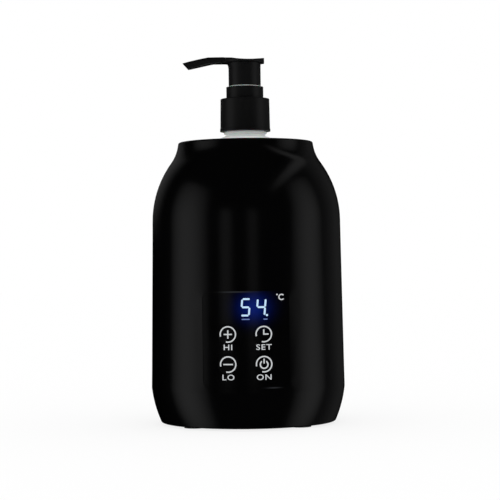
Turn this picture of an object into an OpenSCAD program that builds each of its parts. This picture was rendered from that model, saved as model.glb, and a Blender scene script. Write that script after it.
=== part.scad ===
// Massage oil warmer: a round heated housing with a control panel, and a pump bottle standing in its well.
// Millimetres, +Z up, the floor at z = 0 and the axis of the housing on Z. The panel faces -Y, the spout -X.

/* [Housing] */
// Radius of the housing at the parting line
body_r = 63.5; // [62.5:0.1:65.5]
// Narrowing of the housing's radius from the parting line to the shoulder
body_taper = 1.7; // [1.2:0.1:2.2]
// Height of the base cover, from its underside to the parting line
base_h = 22.8; // [21.5:0.1:25]
// Height of the rim above the underside
body_h = 183.3; // [181:0.1:187]
// Drop of the shoulder's start below the rim
shoulder_drop = 51.1; // [49:0.1:54]
// Radius of the shoulder's outward curve
shoulder_round = 65.6; // [63:0.2:68]
// Radius of the inward curve below the rim
neck_round = 26; // [24:0.5:28]
// Radius of the base cover's side curve
base_round = 76; // [65:1:95]
// Lean of the base cover's side at the parting line
base_lean = 6.3; // [3:0.1:9]
// Rounding of the base cover's lower edge
base_edge = 1.2; // [0.6:0.1:2]
// Wall of the shell and the base cover
wall = 2.6; // [2.4:0.1:3]
// Floor of the base cover
floor_t = 2.6; // [2:0.1:3.4]

/* [Feet and base screws] */
// How far the feet stand out below the base cover
foot_drop = 1; // [0.6:0.1:2]
// Radius of a foot
foot_r = 7; // [5.5:0.1:7.4]
// Depth of the pocket that holds a foot
foot_pocket = 1.2; // [0.8:0.1:1.6]
// Distance of a foot from the rounding of the base cover's edge
foot_inset = 2; // [1.4:0.1:3]
// Radius of a base screw's shank
base_screw_r = 1.5; // [1.2:0.05:1.7]
// Radius of a base screw's head
base_screw_head = 2.8; // [2.4:0.1:3.2]
// Height of the base screws' seat above the underside
base_screw_seat = 14; // [11:0.5:17]
// Depth of a base screw in its boss
base_screw_bite = 10; // [7:0.5:14]

/* [Well] */
// Wall of the cup
cup_t = 1.4; // [1:0.1:2]
// Floor of the cup
cup_floor_t = 2; // [1.4:0.1:3]
// Width of the cup's flange
flange_w = 6.5; // [6.3:0.1:7.4]
// Depth of the well below the rim
well_depth = 112.4; // [108:0.1:116]
// Drop of the ledge that carries the cup, below the rim
ledge_drop = 17; // [15:0.1:20]
// Thickness of the ledge
ledge_t = 2.4; // [1.8:0.1:3]
// Thickness of the seal under the cup's flange
seal_t = 1; // [0.6:0.1:1.6]
// Drop of the funnel ring's top edge below the rim
ring_drop = 1; // [0.6:0.1:2]
// Wall of the funnel ring
ring_t = 1.6; // [1.2:0.1:2.2]

/* [Heater] */
// Height of the heating band
band_h = 56; // [40:1:64]
// Thickness of the heating band
band_t = 1.2; // [0.8:0.1:1.8]
// Height of the band's lower edge above the well's floor
band_lift = 10; // [6:1:16]
// Width of a band strap
strap_w = 7; // [5:0.5:9]
// Thickness of a band strap
strap_t = 0.6; // [0.4:0.1:1]
// Radius of the thermal cutoff's body
cutoff_r = 8; // [6.5:0.5:9]

/* [Control panel] */
// Width of the panel
panel_w = 54; // [52:0.5:55.5]
// Height of the panel
panel_h = 60.6; // [59:0.2:61]
// Height of the panel's middle above the parting line
panel_lift = 33.2; // [33:0.1:34]
// Corner radius of the panel
panel_corner = 5; // [3:0.5:7]
// Thickness of the panel
panel_t = 1.25; // [1:0.05:1.4]
// Width of the ledge that the panel is bonded to
panel_ledge = 5.2; // [4.4:0.1:5.6]

/* [Keys] */
// Radius of a key
key_r = 6.25; // [5.8:0.05:6.5]
// Distance of the key columns from the middle
key_x = 11.2; // [10.6:0.1:11.6]
// Height of the upper keys above the panel's middle
key_rise = 3.6; // [3:0.1:4.2]
// Drop of the lower keys below the panel's middle
key_drop = 15.1; // [14.5:0.1:15.7]
// Depth of a key's flat back behind the housing's front
key_depth = 6.5; // [6.2:0.1:7]
// Travel of a key
key_travel = 0.5; // [0.3:0.05:0.7]

/* [Boards] */
// Depth of the control board's face behind the housing's front
board_setback = 12; // [11.6:0.1:12.6]
// Thickness of a board
board_t = 1.6; // [1.2:0.1:2]
// Width of the display module
display_w = 24; // [22:0.5:25]
// Height of the display module
display_h = 17; // [16:0.5:17.4]
// Offset of the display module from the middle
display_x = 4.4; // [3:0.1:5]
// Height of the display above the panel's middle
display_rise = 20.6; // [20.3:0.1:20.8]
// Depth of the display module
display_t = 7; // [6:0.1:7.4]
// Width of the power board
power_w = 62; // [58:1:66]
// Depth of the power board
power_d = 44; // [42:1:48]
// Height of the power board's posts
power_post_h = 5; // [4:0.5:7]

/* [Power inlet] */
// Height of the inlet's middle above the underside
inlet_h = 11.4; // [11:0.1:12]
// Depth of the inlet's face behind the base cover's side
inlet_inset = 3.35; // [3.1:0.05:3.8]
// Half the distance between the two pins
pin_x = 4.3; // [4:0.1:4.5]
// Radius of a pin
pin_r = 1.2; // [1:0.05:1.3]
// Depth of the socket
socket_depth = 12; // [10:0.5:14]

/* [Bottle] */
// Radius of the bottle
bottle_r = 30.5; // [28.5:0.1:31.5]
// Height of the bottle to the top of its neck
bottle_h = 137; // [134:0.2:140]
// Wall of the bottle
bottle_t = 1.2; // [0.8:0.1:1.6]
// Radius of the bottle's shoulder
bottle_dome = 22; // [19:0.5:24]
// Height of the neck above the bottle's shoulder
bottle_neck_h = 20.4; // [20:0.1:21]
// Radius of the neck under its thread
neck_r = 12.5; // [12.2:0.05:12.7]
// Radius of the neck's bore
neck_bore = 10.9; // [10:0.1:11.2]
// Radius of the bead under the closure
bead_r = 14.1; // [13.6:0.1:15]

/* [Screw thread] */
// Climb of the neck's thread in one turn
thread_pitch = 4.233; // [3.6:0.1:5]
// Height of the neck's thread from the neck
thread_rise = 1.1; // [0.8:0.05:1.2]
// Turns of the neck's thread
thread_turns = 1.5; // [1:0.25:2]

/* [Pump] */
// Radius of the closure at its lower edge
closure_r = 16.4; // [16:0.1:17.5]
// Radius of the closure at its top
closure_top_r = 16.1; // [15.8:0.1:16.3]
// Height of the rim round the closure's lower edge
closure_rim_h = 1.6; // [1:0.1:2.4]
// Height of the closure's skirt
closure_h = 21.5; // [20.5:0.1:22]
// Thickness of the closure's top
closure_t = 1.6; // [1.2:0.1:2]
// Radius of the closure's collar
collar_r = 12.2; // [11.7:0.05:12.5]
// Height of the closure's collar
collar_h = 7.8; // [7.2:0.1:8.6]
// Radius of the lock collar
lock_r = 10.1; // [9.9:0.05:10.3]
// How far the lock collar shows above the closure
lock_show = 0.8; // [0.6:0.1:1.4]
// Radius of the head's skirt
skirt_r = 10.6; // [10.4:0.05:10.8]
// Wall of the head's skirt
skirt_t = 1.1; // [0.9:0.05:1.2]
// Height of the head from its skirt's lower edge to its top
head_h = 19; // [18:0.1:20]
// Radius of the thumb pad
pad_r = 13; // [12.4:0.1:14]
// Depth of the thumb pad's saddle
saddle_depth = 1.3; // [0.8:0.1:1.5]
// Drop from the spout's top to the edge of the thumb pad
pad_drop = 0.75; // [0.4:0.05:0.9]
// Reach of the spout from the pump's axis
spout_reach = 39; // [35:0.2:44]
// Half the spout's width at its root
spout_w = 4.6; // [4:0.1:5.4]
// Height of the web under the spout
web_h = 3.8; // [3:0.1:5]
// Stroke of the pump
stroke = 16; // [14:0.5:17]
// Radius of the stem
stem_r = 4.2; // [4:0.05:4.3]
// Radius of the pump cylinder's bore
cylinder_r = 6.2; // [6:0.05:6.4]
// Room above the piston at the top of its stroke
stroke_room = 8; // [6:0.5:10]
// Length of the spring while the head is locked down
spring_l = 14; // [12:0.5:15]
// Radius of the dip tube
tube_r = 3; // [2.6:0.1:3.2]
// Radius of the spring's wire
wire_r = 0.5; // [0.4:0.05:0.6]
// Turns of the spring
spring_turns = 6; // [5:1:7]

/* [Clearances] */
// Gap at the panel's edge
panel_gap = 0.15; // [0.1:0.05:0.25]
// Gap round a key
key_gap = 0.2; // [0.15:0.05:0.3]
// Gap between parts that only pass each other
pass_gap = 0.3; // [0.2:0.05:0.4]
// Gap under a part that stands on a flat seat
seat_gap = 0.1; // [0.05:0.05:0.2]
// Gap of a sliding or turning fit
fit_gap = 0.05; // [0.03:0.01:0.08]
// Room round the bottle in the well
well_gap = 3; // [2:0.1:3.4]

/* [Hidden] */
$fn = 96;
tiny = 0.01;
hair = 0.003;
far = 90;

// Levels and curves of the housing
base_z = foot_drop;
parting_z = base_z + base_h;
rim_z = base_z + body_h;
lip_z = rim_z - wall / 2;
shoulder_z = rim_z - shoulder_drop;
shoulder_r = body_r - body_taper;
draft = atan((body_r - shoulder_r) / (shoulder_z - parting_z));
shoulder_c = [shoulder_r - shoulder_round * cos(draft), shoulder_z - shoulder_round * sin(draft)];
base_c = [body_r - base_round * cos(base_lean), parting_z + base_round * sin(base_lean)];
base_lip_r = wall_r_at(parting_z + 3, wall) - panel_gap;
base_lip_t = 1.8;
base_lip_h = 3;

// The cup takes the bottle, and the throat lets the cup's flange through
cup_r = bottle_r + well_gap;
cup_out = cup_r + cup_t;
flange_r = cup_out + flange_w;
throat_r = flange_r + pass_gap;

// The inward curve below the rim stops short at the throat and touches the shoulder's curve
curves_apart = shoulder_round + neck_round;
neck_x = throat_r + wall + neck_round;
neck_c = [neck_x, shoulder_c.y + sqrt(pow(curves_apart, 2) - pow(neck_x - shoulder_c.x, 2))];
turn_dir = (neck_c - shoulder_c) / curves_apart;
mouth_r = neck_r_at(lip_z, wall);
lip_round = (neck_r_at(lip_z, 0) - mouth_r) / 2;

// The curve of the housing drawn in by an inset stays parallel to its outside
function shoulder_point(inset) = shoulder_c + (shoulder_round - inset) * [cos(draft), sin(draft)];
function turn_point(inset) = shoulder_c + (shoulder_round - inset) * turn_dir;
function wall_r_at(z, inset) = shoulder_point(inset).x + (shoulder_point(inset).y - z) * tan(draft);
function neck_r_at(z, inset) = neck_c.x - sqrt(pow(neck_round + inset, 2) - pow(z - neck_c.y, 2));
function base_r_at(z, inset) = base_c.x + sqrt(pow(base_round - inset, 2) - pow(z - base_c.y, 2));

// Screws and bosses
screw_angles = [45, 135, 225, 315];
base_screw_ring = base_r_at(base_z + base_edge, base_edge) - foot_r - foot_inset;
boss_r = base_screw_r + 2.6;
boss_h = base_screw_bite + 4;
cup_screw_angles = [90, 210, 330];
cup_screw_r = 1.2;
cup_screw_head = 2.2;
cup_screw_l = 8;
cup_boss_r = cup_screw_r + 1.7;
board_screw_r = 1.1;
board_screw_head = 2.1;
board_screw_l = 3.6;

// Levels of the well
ledge_z = rim_z - ledge_drop;
flange_z = ledge_z + seal_t;
flange_t = cup_t;
flange_top = flange_z + flange_t;
cup_floor_z = rim_z - well_depth;
cup_low = cup_floor_z - cup_floor_t;
cup_screw_ring = flange_r - cup_screw_head - 0.25;
ledge_hole = cup_out + pass_gap;
cup_corner = 4;
band_z = cup_floor_z + band_lift;
band_out = cup_out + fit_gap + band_t;
strap_in = band_out + fit_gap;
strap_screw_y = strap_in + 4;
strap_gap = 7;
sensor_x = -16;
sensor_r = 2.2;
sensor_l = 9;
clip_t = 0.8;
clip_w = 6;
clip_ear = 4;
cutoff_x = 8;
cutoff_cap = 3.5;
cutoff_h = 9;
cutoff_ear = 4;
cutoff_ear_w = 6;
cutoff_ear_t = 1;
blade_w = 4.8;
blade_t = 0.8;
blade_l = 7;
blade_y = 4;

// Levels of the bottle and the pump
bottle_z = cup_floor_z + seat_gap;
neck_top = bottle_z + bottle_h;
dome_top = neck_top - bottle_neck_h;
dome_c = [bottle_r - bottle_dome, dome_top - bottle_dome];
bottle_corner = 4;
push_up = 1.5;
gasket_t = 1;
gasket_z = neck_top + seat_gap;
seat_z = gasket_z + gasket_t;
seat_t = 1.2;
seat_top = seat_z + seat_t;
seat_r = neck_r + 0.7;
closure_under = seat_top + seat_gap;
closure_top = closure_under + closure_t;
closure_low = closure_top - closure_h;
thread_r = neck_r + thread_rise;
thread_low = neck_top - 3 - thread_turns * thread_pitch;
closure_bore = thread_r + pass_gap;
collar_top = closure_top + collar_h;
lock_bore = lock_r + pass_gap;
lock_hole = lock_r - 0.9;
lock_neck = lock_hole - pass_gap;
lock_low = closure_top + seat_gap;
lock_top = collar_top + lock_show;
lock_boss_r = skirt_r - skirt_t - pass_gap;
lock_boss_top = lock_top + 8;
lock_plate = lock_low + 3.2;
lock_plate_t = 3;
snap_r = lock_neck - 1;
snap_top = lock_plate - seat_gap;
head_low = lock_top + seat_gap;
head_top = head_low + head_h;

// Inside of the pump
cylinder_out = cylinder_r + 1.2;
valve_t = 2;
piston_h = 5;
cylinder_low = seat_z - valve_t - spring_l - piston_h - stroke - stroke_room;
valve_r = 1.6;
ball_r = 2.2;
spigot_r = tube_r + 1.2;
spigot_l = 11;
ball_z = cylinder_low + valve_t + sqrt(pow(ball_r, 2) - pow(valve_r, 2)) + seat_gap;
spring_r = cylinder_r - wire_r - 0.5;
spring_low = cylinder_low + valve_t + seat_gap;
piston_z = spring_low + spring_l + 2 * seat_gap;
piston_core = 2.8;
stem_bore = 1.8;
head_floor = head_top - 4.5;
stem_top = head_floor + 0.5;
socket_r = stem_r + 1.4;
socket_low = lock_plate + lock_plate_t + 1.5;
tube_low = bottle_z + push_up + bottle_t + 2;
tube_top = cylinder_low - 1;

// Places on the panel
panel_z = parting_z + panel_lift;
panel_front = wall_r_at(panel_z, 0);
panel_face = panel_gap;
panel_back = panel_face + panel_t;
bond = 0.05;
key_high_z = panel_z + key_rise;
key_low_z = panel_z - key_drop;
key_back = panel_front - key_depth;
flange_gap = 0.35;
key_flange = key_r + 1.1;
switch_w = 6;
switch_h = 3.5;
switch_floor = 1.2;
plunger_r = 1.7;
window_w = panel_w - 2 * panel_ledge;
window_h = panel_h - 2 * 3;
board_boss_r = board_screw_r + 1.7;
board_hole_x = window_w / 2 + board_boss_r + 0.4;
board_w = 2 * (board_hole_x + 3);
board_h = panel_h - 2.6;
board_hole_z = board_h / 2 - 4;
board_y = panel_front - board_setback;
board_z = panel_z + 1.4;
display_z = panel_z + display_rise;
digit_pitch = 9.6;
chip_x = -10;
chip_drop = 6;
chip_size = [10, 7];
chip_t = 2;
buzzer_x = 13;
buzzer_rise = 14;
buzzer_r = 6;
buzzer_h = 7;

// Places in the base
power_z = base_z + floor_t + power_post_h;
power_top = power_z + board_t;
power_y = -3;
power_hole = 4;
power_post_r = 3;
supply_size = [30, 20, 15];
supply_x = power_hole - power_w / 2;
supply_y = power_y - 8;
relay_size = [19, 15.5, 15];
relay_x = power_w / 2 - 5 - relay_size.x;
relay_y = power_y - 15;
capacitor_size = [16, 7.5, 13];
capacitor_y = relay_y + relay_size.y + 3.5;
fuse_l = 20;
fuse_r = 2.3;
fuse_cap = 2.7;
fuse_cap_l = 5;
fuse_x = supply_x + 3;
fuse_y = supply_y - fuse_cap - 3.8;
inlet_z = base_z + inlet_h;
inlet_w = 20;
inlet_tall = 12;
inlet_rim = 2;
inlet_rim_t = 2;
inlet_l = 15;
inlet_face = base_r_at(inlet_z, 0) - inlet_inset;
inlet_seat = inlet_face - inlet_rim_t;
vent_pitch = 8;
vent_w = 2.4;
vent_l = 14;
vent_y = -34;

// Shared shapes

// A quarter disc that fills the corner of a profile, on the side that the signs name
module quarter(centre, r, side, up) {
    translate(centre)
        intersection() {
            circle(r);
            translate([side < 0 ? -r : 0, up < 0 ? -r : 0])
                square(r);
        }
}

// A half profile of a vessel: straight side, rounded lower corner
module vessel_profile(r, low, high, corner) {
    translate([0, low + corner])
        square([r, high - low - corner]);
    translate([0, low])
        square([r - corner, corner]);
    quarter([r - corner, low + corner], corner, 1, -1);
}

// A tube standing on z = low
module tube(r_out, r_in, low, high) {
    translate([0, 0, low])
        difference() {
            cylinder(h = high - low, r = r_out);
            translate([0, 0, -1])
                cylinder(h = high - low + 2, r = r_in);
        }
}

// A rod between two distances in front of the axis, along Y
module front_rod(x, z, r, near, distant) {
    translate([x, -near, z])
        rotate([90, 0, 0])
            cylinder(h = distant - near, r = r);
}

// A block between two distances in front of the axis, centred on x and z
module front_block(x, z, w, h, near, distant) {
    translate([x - w / 2, -distant, z - h / 2])
        cube([w, distant - near, h]);
}

// A rectangle with round corners, made of true arcs
module rounded_rectangle(w, h, corner) {
    square([w - 2 * corner, h], center = true);
    square([w, h - 2 * corner], center = true);
    for (sx = [-1, 1])
        for (sy = [-1, 1])
            translate([sx * (w / 2 - corner), sy * (h / 2 - corner)])
                circle(corner);
}

// A prism with the panel's outline, standing out to the front
module panel_prism(grow, near, distant) {
    translate([0, -near, panel_z])
        rotate([90, 0, 0])
            linear_extrude(distant - near)
                rounded_rectangle(panel_w + 2 * grow, panel_h + 2 * grow, panel_corner + grow);
}

// The drafted part of the housing, drawn in by an inset
module wall_cone(inset) {
    translate([0, 0, parting_z])
        cylinder(h = shoulder_z - parting_z,
                 r1 = wall_r_at(parting_z, inset), r2 = wall_r_at(shoulder_z, inset));
}

// Half profile of the housing above the parting line, drawn in by an inset. Its arcs overlap by a hair,
// so that each meets the next in one clean corner
module body_profile(inset, low, high) {
    start = shoulder_point(inset);
    turn = turn_point(inset);
    difference() {
        union() {
            polygon([[0, low], [wall_r_at(low, inset), low], start, [0, start.y]]);
            intersection() {
                translate(shoulder_c)
                    circle(shoulder_round - inset + hair);
                translate([0, start.y - 3])
                    square([body_r, turn.y - start.y + 4]);
            }
            translate([0, turn.y])
                square([turn.x + 5, high - turn.y]);
        }
        translate(neck_c)
            circle(neck_round + inset + hair);
    }
}

// A pan-head screw: shank below its seat, crossed slots in its head
module pan_screw(shank_r, shank_l, head_r, head_t) {
    translate([0, 0, -shank_l])
        cylinder(h = shank_l, r = shank_r);
    difference() {
        cylinder(h = head_t, r = head_r);
        for (turn = [0, 90])
            rotate(turn)
                translate([-head_r * 0.6, -0.35, head_t * 0.45])
                    cube([head_r * 1.2, 0.7, head_t]);
    }
}

// Puts children on a circle of screws
module on_ring(r, angles, z) {
    for (angle = angles)
        rotate(angle)
            translate([r, 0, z])
                children();
}

// A helical ridge of four-sided section, from angle 0 upwards
function ridge_ring(r_root, r_crest, half_root, half_crest, angle, z) = [
    for (corner = [[r_root, -half_root], [r_crest, -half_crest], [r_crest, half_crest], [r_root, half_root]])
        [corner[0] * cos(angle), corner[0] * sin(angle), z + corner[1]]
];

// Faces of a strip of rings, each with the same number of points, closed at both ends
function strip_faces(rings, sides) = concat(
    [[for (j = [sides - 1 : -1 : 0]) j]],
    [for (i = [0 : rings - 2])
        for (j = [0 : sides - 1])
            [i * sides + j, (i + 1) * sides + (j + 1) % sides, (i + 1) * sides + j]],
    [for (i = [0 : rings - 2])
        for (j = [0 : sides - 1])
            [i * sides + j, i * sides + (j + 1) % sides, (i + 1) * sides + (j + 1) % sides]],
    [[for (j = [0 : sides - 1]) (rings - 1) * sides + j]]
);

// Housing

module outer_shell() {
    color([0.02, 0.02, 0.022])
        difference() {
            union() {
                rotate_extrude()
                    shell_profile();
                shell_bosses();
                board_bosses();
                on_ring(cup_screw_ring, cup_screw_angles, ledge_z - ledge_t - cup_screw_l + tiny)
                    cylinder(h = cup_screw_l, r = cup_boss_r);
            }
            difference() {
                panel_prism(panel_gap, board_y, far);
                wall_cone(panel_back + bond);
            }
            translate([0, -board_y, panel_z])
                rotate([90, 0, 0])
                    linear_extrude(far)
                        rounded_rectangle(window_w, window_h, panel_corner);
            on_ring(base_screw_ring, screw_angles, parting_z - 1)
                cylinder(h = base_screw_bite + 3, r = base_screw_r + fit_gap);
            on_ring(cup_screw_ring, cup_screw_angles, ledge_z - cup_screw_l - 1)
                cylinder(h = cup_screw_l + 2, r = cup_screw_r + fit_gap);
            for (sx = [-1, 1])
                for (sz = [-1, 1])
                    front_rod(sx * board_hole_x, board_z + sz * board_hole_z, board_screw_r + fit_gap,
                              board_y - 1, board_y + board_screw_l - board_t + 0.4);
        }
}

// Half profile of the shell: its wall, the rounded rim and the ledge for the cup
module shell_profile() {
    difference() {
        body_profile(0, parting_z, lip_z);
        body_profile(wall, parting_z - 1, lip_z + 1);
    }
    intersection() {
        translate([mouth_r + lip_round, lip_z])
            circle(lip_round);
        translate([mouth_r, lip_z])
            square([2 * lip_round, lip_round]);
    }
    translate([mouth_r + lip_round / 2, lip_z - lip_round / 2])
        square(lip_round);
    intersection() {
        body_profile(wall / 2, parting_z, lip_z);
        translate([ledge_hole, ledge_z - ledge_t])
            square([body_r, ledge_t]);
    }
}

// Bosses for the base screws, each held to the wall by a web that clears the base cover's lip
module shell_bosses() {
    on_ring(base_screw_ring, screw_angles, parting_z) {
        cylinder(h = boss_h, r = boss_r);
        translate([0, -1.2, base_lip_h + 0.5])
            cube([wall_r_at(parting_z + boss_h, wall) + 0.8 - base_screw_ring, 2.4,
                  boss_h - base_lip_h - 0.5]);
    }
}

// Bosses for the control board, standing on the inside of the wall
module board_bosses() {
    intersection() {
        wall_cone(wall / 2);
        for (sx = [-1, 1])
            for (sz = [-1, 1])
                front_rod(sx * board_hole_x, board_z + sz * board_hole_z, board_boss_r, board_y, body_r);
    }
}

module base_cover() {
    color([0.025, 0.025, 0.027])
        difference() {
            union() {
                rotate_extrude()
                    base_profile();
                on_ring(base_screw_ring, screw_angles, base_z)
                    cylinder(h = base_h - seat_gap, r = boss_r + 1);
                power_posts();
                inlet_wall();
            }
            on_ring(base_screw_ring, screw_angles, base_z - 1)
                base_screw_hole();
            for (i = [-2 : 2])
                translate([i * vent_pitch - vent_w / 2, vent_y, base_z - 1])
                    cube([vent_w, vent_l, floor_t + 2]);
            inlet_hole();
            power_post_holes();
        }
}

// Half profile of the base cover: floor, curved side, lip that locates the shell
module base_profile() {
    edge_c = [base_r_at(base_z + base_edge, base_edge), base_z + base_edge];
    edge_dir = (edge_c - base_c) / norm(edge_c - base_c);
    edge_z = base_c.y + base_round * edge_dir.y;
    difference() {
        union() {
            intersection() {
                translate(base_c)
                    circle(base_round);
                translate([0, edge_z])
                    square([body_r + 1, parting_z - edge_z]);
            }
            translate([0, base_z])
                square([edge_c.x, edge_z - base_z]);
            intersection() {
                translate(edge_c)
                    circle(base_edge);
                translate([edge_c.x, base_z])
                    square([base_edge, edge_z - base_z]);
            }
        }
        intersection() {
            translate(base_c)
                circle(base_round - wall);
            translate([0, base_z + floor_t])
                square([body_r, base_h]);
        }
    }
    polygon([[base_lip_r - base_lip_t, parting_z - 6], [body_r - wall + 0.6, parting_z - 6],
             [body_r - wall + 0.6, parting_z], [base_lip_r, parting_z],
             [base_lip_r, parting_z + base_lip_h], [base_lip_r - base_lip_t, parting_z + base_lip_h]]);
}

// Hole for a base screw, its head and the foot that hides it
module base_screw_hole() {
    cylinder(h = base_h + 2, r = base_screw_r + pass_gap);
    cylinder(h = base_screw_seat + 1, r = base_screw_head + pass_gap);
    cylinder(h = foot_pocket + 1, r = foot_r + seat_gap);
}

// Puts children at the power board's four holes
module at_power_holes(z) {
    for (sx = [-1, 1])
        for (sy = [-1, 1])
            translate([sx * (power_w / 2 - power_hole), power_y + sy * (power_d / 2 - power_hole), z])
                children();
}

module power_posts() {
    at_power_holes(base_z + floor_t - tiny)
        cylinder(h = power_post_h + tiny, r = power_post_r);
}

module power_post_holes() {
    at_power_holes(power_z - board_screw_l)
        cylinder(h = board_screw_l + 1, r = board_screw_r + fit_gap);
}

// Thick place in the base cover's wall that holds the power inlet
module inlet_wall() {
    intersection() {
        translate([0, 0, base_z])
            rotate_extrude()
                translate([0, -base_z])
                    intersection() {
                        translate(base_c)
                            circle(base_round - 0.4);
                        translate([0, base_z + 0.4])
                            square([body_r, base_h - 0.4]);
                    }
        translate([-inlet_w / 2 - 4, inlet_seat - 4, base_z])
            cube([inlet_w + 8, 12, inlet_h + inlet_tall / 2 + inlet_rim + 2]);
    }
}

module inlet_hole() {
    translate([-inlet_w / 2 - fit_gap, inlet_face - inlet_l - 1, inlet_z - inlet_tall / 2 - fit_gap])
        cube([inlet_w + 2 * fit_gap, far, inlet_tall + 2 * fit_gap]);
    translate([-inlet_w / 2 - inlet_rim - fit_gap, inlet_seat,
               inlet_z - inlet_tall / 2 - inlet_rim - fit_gap])
        cube([inlet_w + 2 * inlet_rim + 2 * fit_gap, far, inlet_tall + 2 * inlet_rim + 2 * fit_gap]);
}

module rubber_feet() {
    color([0.09, 0.09, 0.09])
        on_ring(base_screw_ring, screw_angles, 0)
            cylinder(h = foot_drop + foot_pocket, r = foot_r);
}

module base_screws() {
    color([0.7, 0.7, 0.72])
        on_ring(base_screw_ring, screw_angles, base_z + base_screw_seat)
            rotate([180, 0, 0])
                pan_screw(base_screw_r, base_h - base_screw_seat + base_screw_bite, base_screw_head, 2);
}

// Well and heater

module top_ring() {
    low = flange_top;
    high = rim_z - ring_drop;
    out = throat_r - pass_gap;
    in = cup_r + 0.4;
    color([0.05, 0.05, 0.052])
        rotate_extrude()
            polygon([[in, low], [in + ring_t + 0.6, low], [in + ring_t + 0.6, low + 1.4],
                     [out, high - 4.5], [out, high], [out - ring_t, high], [out - ring_t, high - 3],
                     [in, low + 2.4]]);
}

module heating_cup() {
    color([0.78, 0.79, 0.8])
        difference() {
            rotate_extrude()
                difference() {
                    union() {
                        vessel_profile(cup_out, cup_low, flange_top, cup_corner);
                        translate([0, flange_z])
                            square([flange_r, flange_t]);
                    }
                    vessel_profile(cup_r, cup_floor_z, flange_top + 1, cup_corner - cup_t);
                }
            on_ring(cup_screw_ring, cup_screw_angles, flange_z - 1)
                cylinder(h = flange_t + 2, r = cup_screw_r + pass_gap);
        }
}

module cup_seal() {
    color([0.75, 0.25, 0.2])
        difference() {
            tube(flange_r, ledge_hole, ledge_z, flange_z);
            on_ring(cup_screw_ring, cup_screw_angles, ledge_z - 1)
                cylinder(h = seal_t + 2, r = cup_screw_r + pass_gap);
        }
}

module cup_screws() {
    color([0.7, 0.7, 0.72])
        on_ring(cup_screw_ring, cup_screw_angles, flange_top)
            pan_screw(cup_screw_r, seal_t + flange_t + cup_screw_l - 1, cup_screw_head, 1.8);
}

// The band leaves a gap at the back, where its ends and leads meet
module heating_band() {
    color([0.6, 0.16, 0.1])
        translate([0, 0, band_z])
            rotate(100)
                rotate_extrude(angle = 340)
                    translate([cup_out + fit_gap, 0])
                        square([band_t, band_h]);
}

// Two straps, each with a bent ear at both ends and a screw through the ears
module band_straps() {
    color([0.72, 0.72, 0.74])
        for (z = [band_z + 8, band_z + band_h - 8 - strap_w])
            translate([0, 0, z]) {
                linear_extrude(strap_w)
                    strap_outline();
                translate([0, strap_screw_y, strap_w / 2])
                    rotate([0, 90, 0])
                        cylinder(h = 2 * strap_screw_y * tan(strap_gap) + 2.6, r = 0.9, center = true);
            }
}

// A strap from above: a ring that is open at the back, with an ear at each end
module strap_outline() {
    rotate(90) {
        difference() {
            circle(strap_in + strap_t);
            circle(strap_in);
            polygon([[0, 0], [far, -far * tan(strap_gap + 0.4)], [far, far * tan(strap_gap + 0.4)]]);
        }
        for (side = [-1, 1])
            rotate(side * strap_gap)
                translate([strap_in + strap_t / 4, side > 0 ? 0 : -strap_t])
                    square([7, strap_t]);
    }
}

module temperature_sensor() {
    color([0.2, 0.2, 0.22])
        translate([sensor_x, 0, cup_low - sensor_r])
            rotate([90, 0, 0])
                cylinder(h = sensor_l, r = sensor_r, center = true);
}

// A bent strip that presses the sensor against the cup
module sensor_clip() {
    color([0.7, 0.7, 0.72])
        translate([sensor_x, clip_w / 2, cup_low])
            rotate([90, 0, 0])
                linear_extrude(clip_w)
                    difference() {
                        union() {
                            translate([0, -sensor_r])
                                circle(sensor_r + clip_t);
                            translate([-sensor_r - clip_t, -sensor_r])
                                square([2 * (sensor_r + clip_t), sensor_r]);
                            translate([-sensor_r - clip_t - clip_ear, -clip_t])
                                square([2 * (sensor_r + clip_t + clip_ear), clip_t]);
                        }
                        translate([0, -sensor_r])
                            circle(sensor_r + fit_gap);
                        translate([-sensor_r - fit_gap, -sensor_r])
                            square([2 * (sensor_r + fit_gap), sensor_r + 1]);
                    }
}

// A disc thermostat: metal cap against the cup, moulded body, two blade terminals
module thermal_cutoff() {
    color([0.12, 0.1, 0.09]) {
        translate([cutoff_x, 0, cup_low - cutoff_cap])
            cylinder(h = cutoff_cap, r = cutoff_r);
        translate([cutoff_x, 0, cup_low - cutoff_h])
            cylinder(h = cutoff_h - cutoff_cap + tiny, r = cutoff_r - 0.6);
        translate([cutoff_x - cutoff_r - cutoff_ear, -cutoff_ear_w / 2, cup_low - cutoff_cap - cutoff_ear_t])
            cube([2 * (cutoff_r + cutoff_ear), cutoff_ear_w, cutoff_ear_t]);
        for (sy = [-1, 1])
            translate([cutoff_x - blade_w / 2, sy * blade_y - blade_t / 2, cup_low - cutoff_h - blade_l])
                cube([blade_w, blade_t, blade_l + 1]);
    }
}

// Control panel and boards

module control_panel() {
    color([0.03, 0.03, 0.035])
        difference() {
            intersection() {
                panel_prism(0, board_y, far);
                difference() {
                    wall_cone(panel_face);
                    wall_cone(panel_back);
                }
            }
            for (x = [-key_x, key_x])
                for (z = [key_low_z, key_high_z])
                    front_rod(x, z, key_r + key_gap, board_y, far);
        }
}

// A round key, flush with the panel, with a flange behind it and a flat back for its switch
module key(x, z) {
    color([0.035, 0.035, 0.04]) {
        intersection() {
            wall_cone(panel_face);
            front_rod(x, z, key_r, key_back, far);
        }
        intersection() {
            wall_cone(panel_back + flange_gap);
            front_rod(x, z, key_flange, key_back, far);
        }
    }
}

module plunger(x, z) {
    color([0.85, 0.85, 0.82])
        front_rod(x, z, plunger_r, board_y + switch_floor + key_travel + seat_gap, key_back);
}

module key_up() { key(-key_x, key_high_z); }
module key_down() { key(-key_x, key_low_z); }
module key_timer() { key(key_x, key_high_z); }
module key_start() { key(key_x, key_low_z); }
module plunger_up() { plunger(-key_x, key_high_z); }
module plunger_down() { plunger(-key_x, key_low_z); }
module plunger_timer() { plunger(key_x, key_high_z); }
module plunger_start() { plunger(key_x, key_low_z); }

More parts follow.
